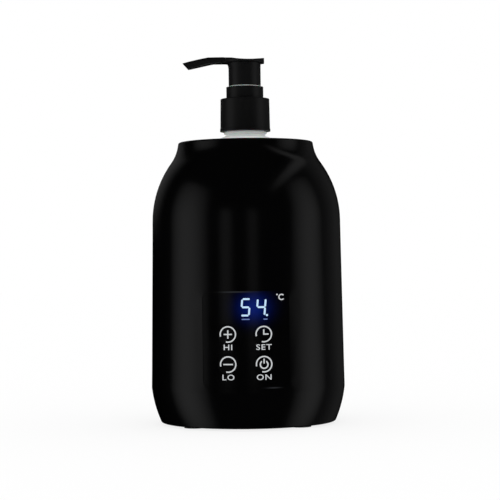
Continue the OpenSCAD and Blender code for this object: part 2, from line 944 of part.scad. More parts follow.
module control_board() {
    color([0.05, 0.3, 0.16])
        difference() {
            front_block(0, board_z, board_w, board_h, board_y - board_t, board_y);
            for (sx = [-1, 1])
                for (sz = [-1, 1])
                    front_rod(sx * board_hole_x, board_z + sz * board_hole_z, board_screw_r + pass_gap,
                              board_y - board_t - 1, board_y + 1);
        }
}

// Two digits of seven segments, sunk a little into a black block
module display_module() {
    color([0.08, 0.08, 0.09])
        difference() {
            front_block(display_x, display_z, display_w, display_h, board_y, board_y + display_t);
            for (sx = [-1, 1])
                translate([display_x + sx * digit_pitch / 2, 0.3 - board_y - display_t, display_z])
                    rotate([90, 0, 0])
                        linear_extrude(1)
                            digit_segments();
        }
}

module digit_segments() {
    for (z = [-5, 0, 5])
        translate([z * 0.1, z])
            square([3.8, 1.1], center = true);
    for (sx = [-1, 1])
        for (sz = [-1, 1])
            translate([sx * 2.6 + sz * 0.25, sz * 2.5])
                square([1.1, 3.6], center = true);
}

module key_switches() {
    color([0.15, 0.15, 0.16])
        for (x = [-key_x, key_x])
            for (z = [key_low_z, key_high_z])
                difference() {
                    front_block(x, z, switch_w, switch_w, board_y, board_y + switch_h);
                    front_rod(x, z, plunger_r + fit_gap, board_y + switch_floor, board_y + switch_h + 1);
                }
}

module control_chip() {
    color([0.1, 0.1, 0.11])
        front_block(chip_x, board_z - chip_drop, chip_size.x, chip_size.y,
                    board_y - board_t - chip_t, board_y - board_t);
}

module buzzer() {
    color([0.09, 0.09, 0.1])
        difference() {
            front_rod(buzzer_x, board_z + buzzer_rise, buzzer_r,
                      board_y - board_t - buzzer_h, board_y - board_t);
            front_rod(buzzer_x, board_z + buzzer_rise, buzzer_r / 6,
                      board_y - board_t - buzzer_h - 1, board_y - board_t - buzzer_h + 2);
        }
}

module board_screws() {
    color([0.7, 0.7, 0.72])
        for (sx = [-1, 1])
            for (sz = [-1, 1])
                translate([sx * board_hole_x, board_t - board_y, board_z + sz * board_hole_z])
                    rotate([-90, 0, 0])
                        pan_screw(board_screw_r, board_screw_l, board_screw_head, 1.4);
}

module power_board() {
    color([0.5, 0.38, 0.18])
        difference() {
            translate([-power_w / 2, power_y - power_d / 2, power_z])
                cube([power_w, power_d, board_t]);
            at_power_holes(power_z - 1)
                cylinder(h = board_t + 2, r = board_screw_r + pass_gap);
        }
}

module supply_module() {
    color([0.1, 0.1, 0.11])
        translate([supply_x, supply_y, power_top])
            cube(supply_size);
}

module relay() {
    color([0.12, 0.3, 0.62])
        translate([relay_x, relay_y, power_top])
            cube(relay_size);
}

module filter_capacitor() {
    color([0.75, 0.6, 0.1])
        translate([relay_x, capacitor_y, power_top])
            cube(capacitor_size);
}

// A glass fuse across the board, with a metal cap at each end
module glass_fuse() {
    color([0.8, 0.8, 0.78])
        translate([fuse_x, fuse_y, power_top + fuse_cap])
            rotate([0, 90, 0]) {
                cylinder(h = fuse_l, r = fuse_r);
                cylinder(h = fuse_cap_l, r = fuse_cap);
                translate([0, 0, fuse_l - fuse_cap_l])
                    cylinder(h = fuse_cap_l, r = fuse_cap);
            }
}

module power_screws() {
    color([0.7, 0.7, 0.72])
        at_power_holes(power_top)
            pan_screw(board_screw_r, board_screw_l + board_t - 0.6, board_screw_head, 1.4);
}

// A two-pin appliance inlet with a figure-eight socket
module power_inlet() {
    color([0.07, 0.07, 0.075])
        difference() {
            union() {
                translate([-inlet_w / 2, inlet_seat - inlet_l + inlet_rim_t, inlet_z - inlet_tall / 2])
                    cube([inlet_w, inlet_l - tiny, inlet_tall]);
                translate([-inlet_w / 2 - inlet_rim, inlet_seat, inlet_z - inlet_tall / 2 - inlet_rim])
                    cube([inlet_w + 2 * inlet_rim, inlet_rim_t, inlet_tall + 2 * inlet_rim]);
            }
            translate([0, inlet_face + 1, inlet_z])
                rotate([90, 0, 0])
                    linear_extrude(socket_depth + 1)
                        socket_outline();
            for (sx = [-1, 1])
                translate([sx * pin_x, inlet_face, inlet_z])
                    rotate([90, 0, 0])
                        cylinder(h = inlet_l + 4, r = pin_r + fit_gap);
        }
}

module socket_outline() {
    for (sx = [-1, 1])
        translate([sx * pin_x, 0])
            circle(4.1);
    square([2 * pin_x, 6], center = true);
}

module inlet_pins() {
    color([0.8, 0.8, 0.82])
        for (sx = [-1, 1])
            translate([sx * pin_x, inlet_face - 3, inlet_z])
                rotate([90, 0, 0])
                    cylinder(h = inlet_l + 2, r = pin_r);
}

// Bottle and pump

module bottle() {
    color([0.93, 0.93, 0.9]) {
        rotate_extrude()
            difference() {
                bottle_outside();
                bottle_inside();
            }
        thread(neck_r, thread_r, thread_low);
    }
}

module bottle_outside() {
    fillet = 2.4;
    fillet_r = neck_r + fillet;
    fillet_z = dome_c.y + sqrt(pow(bottle_dome, 2) - pow(fillet_r - dome_c.x, 2));
    vessel_profile(bottle_r, bottle_z, dome_c.y, bottle_corner);
    quarter(dome_c, bottle_dome, 1, 1);
    translate([0, dome_c.y])
        square([dome_c.x, bottle_dome]);
    translate([0, dome_c.y])
        square([neck_r, neck_top - dome_c.y]);
    difference() {
        translate([neck_r - 1, dome_c.y])
            square([fillet + 1, fillet_z + fillet - dome_c.y]);
        translate([fillet_r, fillet_z + fillet])
            circle(fillet);
    }
    polygon([[neck_r - 1, closure_low - pass_gap - 2.1], [neck_r, closure_low - pass_gap - 2.1],
             [bead_r, closure_low - pass_gap - 1.2], [bead_r, closure_low - pass_gap],
             [neck_r - 1, closure_low - pass_gap]]);
}

module bottle_inside() {
    low = bottle_z + bottle_t;
    difference() {
        vessel_profile(bottle_r - bottle_t, low, dome_c.y, bottle_corner - bottle_t);
        translate([0, low - 1])
            square([bottle_r - 9, push_up + 1]);
    }
    translate([0, bottle_z - 1])
        square([bottle_r - 9 - bottle_t, push_up + 1]);
    quarter(dome_c, bottle_dome - bottle_t, 1, 1);
    translate([0, dome_c.y])
        square([dome_c.x, bottle_dome - bottle_t]);
    translate([0, dome_c.y])
        square([neck_bore, bottle_h]);
}

// A screw thread from a root radius to a crest radius, which runs out at both ends
module thread(root, crest, low) {
    steps = round(thread_turns * 28);
    sunk = root - 0.4 * sign(crest - root);
    rings = [
        for (i = [0 : steps])
            let (fade = 0.2 + 0.8 * min(1, i / 5, (steps - i) / 5))
                ridge_ring(sunk, root + (crest - root) * fade, 1, 0.45, 360 * thread_turns * i / steps,
                           low + thread_turns * thread_pitch * i / steps)
    ];
    points = [for (ring = rings) for (point = crest > root ? ring : [for (k = [3 : -1 : 0]) ring[k]]) point];
    polyhedron(points, strip_faces(steps + 1, 4));
}

// The closure's own thread runs half a turn's climb below the neck's
module closure() {
    color([0.035, 0.035, 0.037]) {
        rotate_extrude()
            closure_profile();
        thread(closure_bore, neck_r + pass_gap, thread_low - thread_pitch / 2);
    }
}

module closure_profile() {
    edge = 0.5;
    rim_out = 0.2;
    difference() {
        union() {
            polygon([[0, closure_low], [closure_r, closure_low], [closure_top_r, closure_top - edge],
                     [0, closure_top - edge]]);
            translate([0, closure_top - edge - tiny])
                square([closure_top_r - edge, edge + tiny]);
            quarter([closure_top_r - edge, closure_top - edge], edge, 1, 1);
            polygon([[0, closure_low], [closure_r + rim_out, closure_low],
                     [closure_r + rim_out, closure_low + closure_rim_h],
                     [closure_r - 0.2, closure_low + closure_rim_h + 0.4],
                     [0, closure_low + closure_rim_h + 0.4]]);
            translate([0, closure_top - tiny])
                square([collar_r, collar_h + tiny]);
        }
        translate([0, closure_low - 1])
            square([closure_bore, closure_under - closure_low + 1]);
        translate([0, closure_under - 1])
            square([lock_hole, closure_t + 2]);
        translate([0, closure_top])
            square([lock_bore, collar_h + 1]);
    }
}

// Natural plastic collar that snaps on the housing, holds the closure down and carries the lock thread's boss
module lock_collar() {
    color([0.9, 0.9, 0.86])
        rotate_extrude()
            difference() {
                union() {
                    translate([0, seat_top])
                        square([lock_neck, lock_low - seat_top + tiny]);
                    translate([0, lock_low])
                        square([lock_r, lock_top - lock_low]);
                    translate([0, lock_top - tiny])
                        square([lock_boss_r, lock_boss_top - lock_top + tiny]);
                }
                translate([0, seat_top - 1])
                    square([snap_r + fit_gap, lock_plate - seat_top + 1]);
                translate([0, seat_top])
                    square([stem_r + fit_gap, far]);
                translate([0, lock_plate + lock_plate_t])
                    square([socket_r + pass_gap, far]);
            }
}

// Pump cylinder: seat flange on the neck, bore for the piston, valve seat and a spigot for the dip tube
module pump_housing() {
    color([0.92, 0.92, 0.89])
        rotate_extrude()
            difference() {
                union() {
                    translate([0, seat_z])
                        square([seat_r, seat_t]);
                    translate([0, cylinder_low])
                        square([cylinder_out, seat_z - cylinder_low + tiny]);
                    translate([0, seat_top - tiny])
                        square([snap_r, snap_top - seat_top + tiny]);
                    polygon([[0, cylinder_low - spigot_l], [spigot_r, cylinder_low - spigot_l],
                             [spigot_r, cylinder_low - 3], [cylinder_out, cylinder_low + tiny],
                             [0, cylinder_low + tiny]]);
                }
                translate([0, cylinder_low + valve_t])
                    square([cylinder_r, far]);
                translate([0, cylinder_low - 2])
                    square([valve_r, valve_t + 4]);
                translate([0, cylinder_low - spigot_l - 1])
                    square([tube_r + fit_gap, spigot_l]);
            }
}

module neck_gasket() {
    color([0.85, 0.85, 0.85])
        tube(seat_r, cylinder_out + fit_gap, gasket_z, seat_z);
}

module valve_ball() {
    color([0.8, 0.82, 0.84])
        translate([0, 0, ball_z])
            sphere(ball_r);
}

// Points of the spring's centre line
function spring_point(i, steps) =
    let (angle = 360 * spring_turns * i / steps)
        [spring_r * cos(angle), spring_r * sin(angle),
         spring_low + wire_r + (spring_l - 2 * wire_r) * i / steps];

// The spring is compressed at rest, because the head is locked down
module pump_spring() {
    sides = 6;
    steps = spring_turns * 12;
    points = [
        for (i = [0 : steps])
            let (centre = spring_point(i, steps), angle = 360 * spring_turns * i / steps)
                for (j = [0 : sides - 1])
                    centre + wire_r * [cos(360 * j / sides) * cos(angle), cos(360 * j / sides) * sin(angle),
                                       sin(360 * j / sides)]
    ];
    echo(str("pump spring, least gap between turns: ", (spring_l - 2 * wire_r) / spring_turns - 2 * wire_r));
    color([0.72, 0.73, 0.75])
        polyhedron(points, strip_faces(steps + 1, sides));
}

module dip_tube() {
    color([0.93, 0.93, 0.9])
        tube(tube_r, tube_r - 1, tube_low, tube_top);
}

module pump_stem() {
    color([0.92, 0.92, 0.89])
        difference() {
            union() {
                translate([0, 0, piston_z + piston_h])
                    cylinder(h = stem_top - piston_z - piston_h, r = stem_r);
                translate([0, 0, piston_z])
                    cylinder(h = piston_h + tiny, r = piston_core);
            }
            translate([0, 0, piston_z - 1])
                cylinder(h = far, r = stem_bore);
        }
}

// A soft ring with a lip at each end, on the stem's lower end
module pump_piston() {
    color([0.96, 0.96, 0.94])
        rotate_extrude()
            polygon([[piston_core + fit_gap, piston_z], [cylinder_r - 0.9, piston_z],
                     [cylinder_r - fit_gap, piston_z + 0.2], [cylinder_r - fit_gap, piston_z + 0.9],
                     [cylinder_r - 0.6, piston_z + 1.6], [cylinder_r - 0.6, piston_z + piston_h - 1.6],
                     [cylinder_r - fit_gap, piston_z + piston_h - 0.9],
                     [cylinder_r - fit_gap, piston_z + piston_h - 0.2],
                     [cylinder_r - 0.9, piston_z + piston_h], [piston_core + fit_gap, piston_z + piston_h]]);
}

// Heights of the head along the spout, measured from its top, and its half width
hump_start = -8;
drop_start = -14;
spout_bend = 24;
saddle_x = (pad_r + hump_start) / 2;
function past(x, bend) = max(0, -x - bend);
function head_upper(x) = x > hump_start
    ? -pad_drop - saddle_depth * (1 - pow((x - saddle_x) / (pad_r - saddle_x), 2))
    : -pad_drop * max(0, (x - drop_start) / (hump_start - drop_start))
      - 0.2 * past(x, spout_bend) - 0.003 * pow(past(x, spout_bend), 2);
function head_lower(x) = -4.5 - 0.184 * past(x, 20.5);
function pad_half(x) = x > -pad_r ? sqrt(pow(pad_r, 2) - pow(x, 2)) : 0;
function spout_half(x) = spout_w - 0.04 * past(x, 10);
function head_half(x) = x > 0 ? pad_half(x) : pow(pow(pad_half(x), 4) + pow(spout_half(x), 4), 0.25);
function signed_power(v, n) = sign(v) * pow(abs(v), n);

// One cross-section of the head, a rounded box that leans over towards the tip
function head_section(x, sides) =
    let (upper = head_upper(x), lower = head_lower(x),
         middle = (upper + lower) / 2, half = (upper - lower) / 2,
         lean = 0.9 * min(1, past(x, spout_bend) / 14))
        [for (j = [0 : sides - 1])
            let (up = half * signed_power(sin(360 * j / sides), 0.6))
                [x - lean * up, head_half(x) * signed_power(cos(360 * j / sides), 0.6),
                 head_top + middle + up]];

module head_form() {
    sides = 20;
    stations = concat([for (turn = [6 : 12 : 78]) pad_r * cos(turn)],
                      [for (i = [0 : 16]) -spout_reach * i / 16]);
    points = [for (x = stations) for (point = head_section(x, sides)) point];
    polyhedron(points, strip_faces(len(stations), sides));
}

// Hollow-faced web in the corner between the skirt and the spout's underside
module spout_web() {
    out = 1.4;
    half = 3.2;
    sunk = 0.2;
    face_r = (pow(web_h, 2) + pow(out, 2)) / (2 * out);
    translate([0, half, 0])
        rotate([90, 0, 0])
            linear_extrude(2 * half)
                difference() {
                    translate([-skirt_r - out + sunk, head_floor - web_h])
                        square([out + skirt_t - 2 * sunk, web_h + 1]);
                    translate([-skirt_r - face_r + sunk, head_floor - web_h])
                        circle(face_r);
                }
}

// The head: lock skirt, socket for the stem, thumb pad and spout with its channel
module pump_head() {
    channel_r = 0.75;
    channel_z = head_top - pad_drop - saddle_depth - 0.3 - channel_r;
    tip_z = head_top + (head_upper(-spout_reach) + head_lower(-spout_reach)) / 2;
    fall = atan((channel_z - tip_z) / (spout_reach - spout_bend + 2));
    color([0.035, 0.035, 0.037])
        difference() {
            union() {
                head_form();
                spout_web();
                tube(skirt_r, skirt_r - skirt_t, head_low, head_floor + 1);
                tube(socket_r, stem_r - 1, socket_low, head_floor + 1);
            }
            translate([0, 0, socket_low - 1])
                cylinder(h = stem_top - socket_low + 1, r = stem_r + fit_gap);
            translate([0, 0, stem_top - 1])
                cylinder(h = channel_z - stem_top + 1, r = stem_bore);
            translate([0, 0, channel_z])
                rotate([0, -90, 0])
                    cylinder(h = spout_bend - 1.2, r = channel_r);
            translate([2 - spout_bend, 0, channel_z])
                rotate([0, -90 - fall, 0])
                    cylinder(h = far, r = 1.2);
        }
}

outer_shell();
base_cover();
rubber_feet();
base_screws();
top_ring();
heating_cup();
cup_seal();
cup_screws();
heating_band();
band_straps();
temperature_sensor();
sensor_clip();
thermal_cutoff();
control_panel();
control_board();
display_module();
key_switches();
control_chip();
buzzer();
board_screws();
power_board();
supply_module();
relay();
filter_capacitor();
glass_fuse();
power_screws();
power_inlet();
inlet_pins();
key_up();
key_down();
key_timer();
key_start();
plunger_up();
plunger_down();
plunger_timer();
plunger_start();
bottle();
closure();
lock_collar();
pump_housing();
neck_gasket();
valve_ball();
pump_spring();
dip_tube();
pump_stem();
pump_piston();
pump_head();
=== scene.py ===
"""Looks for an oil warmer with a pump bottle.

Makes the finishes, the panel with its keys, prints and lit display, the pump head and a studio stage.
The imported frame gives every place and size, and the pieces made here stand on it.
"""

import math

import bmesh
import bpy
from mathutils import Matrix, Vector
from mathutils.geometry import delaunay_2d_cdt


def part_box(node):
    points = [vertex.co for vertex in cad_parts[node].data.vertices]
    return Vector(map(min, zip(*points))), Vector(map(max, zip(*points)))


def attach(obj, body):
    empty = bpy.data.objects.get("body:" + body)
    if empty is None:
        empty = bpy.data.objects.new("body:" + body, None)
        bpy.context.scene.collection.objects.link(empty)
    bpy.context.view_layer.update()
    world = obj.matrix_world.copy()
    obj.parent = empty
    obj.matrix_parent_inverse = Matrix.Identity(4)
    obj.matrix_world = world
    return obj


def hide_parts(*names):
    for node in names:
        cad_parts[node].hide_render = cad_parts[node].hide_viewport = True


bl_info = {
    "name": "Oil warmer looks",
    "version": (1, 0, 0),
    "blender": (4, 5, 0),
    "location": "3D View > Sidebar > Warmer",
    "description": "Dresses the packed oil warmer: finishes, panel prints, lit display and studio stage",
    "category": "Object",
}

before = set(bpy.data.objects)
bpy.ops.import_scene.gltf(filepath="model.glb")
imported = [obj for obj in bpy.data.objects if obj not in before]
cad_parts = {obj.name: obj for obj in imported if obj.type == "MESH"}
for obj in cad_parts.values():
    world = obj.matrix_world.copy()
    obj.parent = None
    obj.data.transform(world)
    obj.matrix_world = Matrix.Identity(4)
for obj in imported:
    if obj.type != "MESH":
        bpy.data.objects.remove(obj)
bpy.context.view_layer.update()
MM = 0.001

SHELL_LOW, SHELL_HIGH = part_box("outer_shell")
PANEL_LOW, PANEL_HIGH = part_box("control_panel")
HEAD_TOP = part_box("pump_head")[1].z
PANEL_Z = (PANEL_LOW.z + PANEL_HIGH.z) / 2
FINISHES = {}
KEY_BODIES = {"key_up": "up_key", "key_down": "down_key",
              "key_timer": "timer_key", "key_start": "start_key"}
LEGENDS = {"key_up": "HI", "key_down": "LO", "key_timer": "SET", "key_start": "ON"}


# Fixed values, with lengths in metres and angles in degrees

# Sockets of a Mix node for two colours and their blend
MIX_LOW, MIX_HIGH, MIX_RESULT = 6, 7, 2

# Angles above which an edge is sharp, and distances below which points are one
CREASE = 35
FLAT_CREASE = 15
HEAD_CREASE = 42
WELD = 1e-6
SAME_POINT = 1e-9

# Kind of filling that leaves out what lies outside a loop
ONLY_INSIDE = 1

# Spacing of the points on the panel, a key and the prints
PANEL_STEP = 2 * MM
KEY_STEP = 1.6 * MM
PRINT_STEP = 0.5 * MM

# Place of a softened edge's middle row, as a share of the edge
EDGE_DIP = 0.35

# Tones of the panel's glass and of unlit bars, and middle and half width of the painted highlight (a grey
# glow) on the panel's edges
GLASS_TONES = ((0.0007, 0.0007, 0.0008), (0.0012, 0.0012, 0.0014))
LAMP_TONES = ((0.02, 0.03, 0.05), (0.03, 0.04, 0.06))
UPPER_PAINTED_HIGHLIGHT_X = -6 * MM
UPPER_PAINTED_HIGHLIGHT_HALF = 10 * MM
LOWER_PAINTED_HIGHLIGHT_X = 17 * MM
LOWER_PAINTED_HIGHLIGHT_HALF = 4 * MM

# Signs on the keys: half a cross, half a bar or a clock's hand, and the switch-on sign's ring and stem
CROSS_ARM = 2.6 * MM
BAR_ARM = 3.0 * MM
ON_RING_MIDDLE = (0, -0.2 * MM)
ON_RING_OUT = 2.8 * MM
ON_RING_IN = 1.95 * MM
ON_RING_ENDS = (125, 415)
ON_STEM_LOW = 0.4 * MM
ON_STEM_HIGH = 3.4 * MM

# Degree sign: middles of the C and the dot, from the axis and above the digits' middle
C_MIDDLE = (22.5 * MM, 6.1 * MM)
C_OUT = 2.0 * MM
C_IN = 1.25 * MM
C_ENDS = (40, 320)
DOT_MIDDLE = (19.7 * MM, 7.7 * MM)
DOT_RADIUS = 0.5 * MM

# Legends: share of the type size that a capital has, fattening, and spacing
CAPITAL_SHARE = 0.72
LETTER_FATTER = 0.05 * MM
LETTER_SPACE = 1.14

# Lit bars: length before stretching, spacing of points, rounding by stroke, and share of a digit's side
BAR_LENGTH = 5 * MM
BAR_STEP = 0.3 * MM
BAR_ROUND = 0.42
BAR_FILL = 0.9

# The point after the digits and the short bars under them
POINT_OUT = 1.1 * MM
POINT_RISE = 0.1 * MM
POINT_STROKE = 1.25 * MM
POINT_STRETCH = 0.25
DASH_OUT = 2.6 * MM
DASH_DROP = 2.4 * MM
DASH_STROKE = 0.7 * MM
DASH_STRETCH = (1.0, 0.5)

# Pump head along X, in millimetres, with its spout towards -X: saddle, rise to the spout, bend, underside,
# narrowing, slanted tip, and how round the join and the sections are
SADDLE_MIDDLE = 2.5
SADDLE_HALF = 10.5
SADDLE_END = -8
RISE_END = -14
BEND_START = 24
BEND_SLOPE = 0.2
BEND_CURVE = 0.003
UNDER_START = 20.5
UNDER_SLOPE = 0.184
NARROW_START = 10
NARROW_SLOPE = 0.04
TIP_LEAN = 0.9
TIP_RUN = 14
JOIN_POWER = 4
SECTION_POWER = 0.6
PAD_ANGLES = (1.5, 4, 7, 11, 16, 22, 29, 37, 46, 56, 67, 78)
SPOUT_STEPS = 64

# Outlet: rings by their share of the tip's rim and their depth, and the fall of the bore
OUTLET_RINGS = ((0.86, 0.0), (0.5, 0.05 * MM), (0.45, 0.6 * MM), (0.42, 4 * MM))
OUTLET_FALL = 0.1

# Skirt of the pump head: rise into the pad, rounding of the lower edge, and swelling under the spout
SKIRT_RISE = 0.9 * MM
SKIRT_ROUND = 0.25 * MM
SWELL_ROUND = 0.15 * MM
SWELL_POWER = 6

# Stage: floor, point that the light cards stand round, their distance, fading and shares, and camera film
FLOOR_RADIUS = 4
FLOOR_DROP = 0.05 * MM
SHOULDER = Vector((0, 0, 0.16))
CARD_DISTANCE = 0.9
SIDE_FADE = 1.5
END_FADE = 0.6
LEFT_EDGE_SHARE = 1.7
RIGHT_FRONT_SHARE = 0.75
LONG_BAR_HALF = 0.95
LONG_BAR_MIDDLE = 0.65
FRONT_SPAN = (-0.02, 0.36)
FILM_WIDTH_MM = 36


# Properties

def number(title, text, value, **kind):
    """A number property of some kind."""
    return bpy.props.FloatProperty(name=title, description=text, default=value, **kind)


def length(title, text, millimetres):
    """A length property, given in millimetres."""
    return number(title, text, millimetres * MM, unit="LENGTH", precision=5)


def turn(title, text, degrees):
    """An angle property, given in degrees."""
    return number(title, text, math.radians(degrees), subtype="ANGLE")


def share(title, text, value):
    """A factor property between 0 and 1."""
    return number(title, text, value, min=0, max=1, subtype="FACTOR")


def amount(title, text, value):
    """A plain number property that isn't negative."""
    return number(title, text, value, min=0)


def tint(title, text, rgb):
    """A colour property."""
    return bpy.props.FloatVectorProperty(
        name=title, description=text, default=rgb, size=3, min=0, max=1, subtype="COLOR")


class HousingLook(bpy.types.PropertyGroup):
    """Sizes and finish of the housing."""

    taper: length("Taper", "Narrowing of the radius from the parting line to the shoulder", 1.7)
    shoulder_drop: length("Shoulder drop", "Drop of the shoulder's start below the rim", 51.1)
    gloss_colour: tint("Gloss colour", "Colour of the glossy housing", (0.0009, 0.0009, 0.00105))
    gloss_roughness: share("Gloss roughness", "Roughness of the glossy housing", 0.15)


class PanelLook(bpy.types.PropertyGroup):
    """Sizes and colours of the panel, its keys, prints and display."""

    inset: length("Inset", "Depth of the panel's face below the wall", 0.15)
    thickness: length("Thickness", "Thickness of the panel", 1.25)
    corner: length("Corner", "Corner radius of the panel", 5)
    edge: length("Edge", "Softened edge of the panel and keys", 0.12)
    key_radius: length("Key radius", "Radius of a key", 6.25)
    key_gap: length("Key gap", "Gap round a key", 0.2)
    flange_radius: length("Flange radius", "Radius of the flange behind a key", 7.35)
    flange_depth: length("Flange depth", "Depth of the flange below the wall", 1.75)
    ring_radius: length("Ring radius", "Middle radius of the printed ring", 4.78)
    stroke: length("Stroke", "Width of the printed lines", 0.8)
    ring_gap_start: turn("Ring gap start", "Angle where the gap of a printed ring starts", 195)
    ring_gap_sweep: turn("Ring gap sweep", "Opening of the gap in a printed ring", 60)
    ink: length("Ink", "Thickness of the printed ink", 0.03)
    ink_colour: tint("Ink colour", "Colour of the prints", (0.6, 0.62, 0.635))
    letter_height: length("Letter height", "Height of the legends", 3.5)
    letter_drop: length("Letter drop", "Drop of a legend's middle below its key", 2.0)
    letter_stretch: amount("Letter stretch", "Widening of the legends' letters", 1.2)
    digit_x: length("Digit offset", "Offset of the middle between the digits", 4.9)
    digit_pitch: length("Digit pitch", "Distance between the digits", 9.7)
    digit_rise: length("Digit rise", "Height of the digits above the panel's middle", 20.4)
    digit_height: length("Digit height", "Height of a digit between its bars' middles", 10.2)
    digit_width: length("Digit width", "Width of a digit between its bars' middles", 4.9)
    digit_stroke: length("Digit stroke", "Width of a lit bar", 1.15)
    digit_slant: turn("Digit slant", "Lean of the digits", 5)
    lit_colour: tint("Lit colour", "Colour of a lit bar", (0.56, 0.78, 1.0))
    dim_colour: tint("Dim colour", "Colour of the short bars under the digits", (0.12, 0.18, 0.42))
    glow_colour: tint("Glow colour", "Colour of the light round the digits", (0.0003, 0.0085, 0.125))
    glow_width: length("Glow width", "Half width of the spread light", 8.6)
    glow_height: length("Glow height", "Half height of the spread light", 7.4)
    # Painted highlight: colour and half height of a grey glow on the panel's edges that stands in for light
    # caught by them
    painted_highlight_colour: tint("Sheen colour", "Colour of the light on the panel's edge", (0.026, 0.028, 0.031))
    painted_highlight_height: length("Sheen height", "Half height of the light on the panel's edge", 0.45)


class PumpLook(bpy.types.PropertyGroup):
    """Sizes and finish of the pump head."""

    pad_radius: length("Pad radius", "Radius of the thumb pad", 13)
    saddle_depth: length("Saddle depth", "Depth of the thumb pad's saddle", 1.3)
    spout_half: length("Spout half width", "Half the spout's width at its root", 4.6)
    pad_drop: length("Pad drop", "Drop from the spout's top to the edge of the thumb pad", 0.75)
    spout_reach: length("Spout reach", "Reach of the spout from the pump's axis", 39)
    skirt_radius: length("Skirt radius", "Radius of the head's skirt", 10.6)
    skirt_wall: length("Skirt wall", "Wall of the head's skirt", 1.1)
    head_height: length("Head height", "Height of the head from its skirt's lower edge to its top", 19)
    head_thickness: length("Head thickness", "Thickness of the pad and spout", 4.5)
    web_out: length("Web reach", "Reach of the web under the spout from the skirt", 1.2)
    web_height: length("Web height", "Height of the web under the spout", 3.8)
    satin_colour: tint("Satin colour", "Colour of the satin pump", (0.0038, 0.0038, 0.0042))
    satin_roughness: share("Satin roughness", "Roughness of the satin pump", 0.4)


class StageLook(bpy.types.PropertyGroup):
    """Camera and light of the studio stage."""

    distance: length("Distance", "Distance of the camera from the axis", 1089)
    height: length("Height", "Height of the camera", 108)
    azimuth: turn("Azimuth", "Place of the camera round the axis", 1.1)
    aim: turn("Aim", "Turn of the camera off the axis", -0.115)
    pitch: turn("Pitch", "Upward look of the camera", 0.28)
    roll: turn("Roll", "Roll of the camera", -0.69)
    lens: amount("Lens", "Focal length in millimetres on a 36 mm wide sensor", 118.8)
    ambient: amount("Ambient", "Strength of the even studio light", 1.0)
    floor_colour: tint("Floor colour", "Colour of the pale floor", (1.0, 1.0, 1.0))
    floor_light: share("Floor light", "Share of the floor's light that comes from below it", 0.8)
    left_card: amount("Left card", "Strength of the tall soft card on the left", 0.36)
    right_card: amount("Right card", "Strength of the tall soft card on the right", 0.33)
    back_card: amount("Back card", "Strength of the wide card behind the right side", 0.06)
    front_card: amount("Front card", "Strength of the two faint cards beside the camera", 0.14)
    bar: amount("Bar", "Strength of the long bar above the right side", 0.25)


# Node building

def add_node(tree, kind, settings, inputs):
    """Adds a node, sets it up and feeds its inputs with values, sockets, wires or lists of these."""
    made = tree.nodes.new(kind)
    for key, value in settings.items():
        setattr(made, key, value)
    for key, value in inputs.items():
        for source in value if isinstance(value, list) else [value]:
            if isinstance(source, Wire):
                source = source.socket
            if isinstance(source, bpy.types.NodeSocket):
                tree.links.new(source, made.inputs[key])
            else:
                made.inputs[key].default_value = source
    return made


def opaque(colour):
    """A colour with full cover, or the wire that brings one."""
    return colour if isinstance(colour, Wire) else (*colour, 1)


def maths(operation, reflected=False):
    """A method of Wire that adds a Math node."""
    def method(self, other):
        first, second = (other, self) if reflected else (self, other)
        return self.finish.node("ShaderNodeMath", {"operation": operation}, {0: first, 1: second})
    return method


class Wire:
    """An output socket of a finish that takes part in Python arithmetic."""

    def __init__(self, finish, socket):
        self.finish = finish
        self.socket = socket

    __add__ = __radd__ = maths("ADD")
    __sub__ = maths("SUBTRACT")
    __rsub__ = maths("SUBTRACT", reflected=True)
    __mul__ = __rmul__ = maths("MULTIPLY")
    __truediv__ = maths("DIVIDE")
    __pow__ = maths("POWER")
    __rpow__ = maths("POWER", reflected=True)
    at_least = maths("MAXIMUM")


class Finish:
    """One procedural material that reads Object coordinates."""

    def __init__(self, name):
        self.material = bpy.data.materials.new(name)
        self.material.use_nodes = True
        self.tree = self.material.node_tree
        self.tree.nodes.clear()
        self.place = self.node("ShaderNodeTexCoord", {}, {}, "Object")

    def node(self, kind, settings, inputs, output=0):
        """Adds a node and returns one of its outputs."""
        return Wire(self, add_node(self.tree, kind, settings, inputs).outputs[output])

    def axes(self):
        """The three Object coordinates as values."""
        split = add_node(self.tree, "ShaderNodeSeparateXYZ", {}, {0: self.place})
        return [Wire(self, socket) for socket in split.outputs]

    def noise(self, scale, detail=3, stretch=(1, 1, 1)):
        """Noise from 0 to 1, with a scale in features a metre."""
        spot = self.node("ShaderNodeVectorMath", {"operation": "MULTIPLY"}, {0: self.place, 1: stretch})
        inputs = {"Vector": spot, "Scale": scale, "Detail": detail}
        return self.node("ShaderNodeTexNoise", {}, inputs, "Fac")

    def blend(self, factor, low, high):
        """A colour between two colours."""
        inputs = {0: factor, MIX_LOW: opaque(low), MIX_HIGH: opaque(high)}
        return self.node("ShaderNodeMix", {"data_type": "RGBA"}, inputs, MIX_RESULT)

    def drift(self, factor, colour, low, high=1.0):
        """A colour that drifts between two shares of itself."""
        return self.blend(factor, scaled(colour, low), scaled(colour, high))

    def bump(self, height, strength, distance):
        """A normal from a height pattern."""
        inputs = {"Height": height, "Strength": strength, "Distance": distance}
        return self.node("ShaderNodeBump", {}, inputs, "Normal")

    def principled(self, **inputs):
        """Ends in a Principled shader with inputs named by joined words, and returns the material."""
        fed = {}
        for key, value in inputs.items():
            word = key.replace("_", " ").title().replace("Ior", "IOR")
            fed[word] = opaque(value) if word.endswith("Color") else value
        shader = self.node("ShaderNodeBsdfPrincipled", {}, fed)
        add_node(self.tree, "ShaderNodeOutputMaterial", {}, {"Surface": shader})
        return self.material


def scaled(colour, factor):
    """A colour made darker or lighter."""
    return tuple(channel * factor for channel in colour)


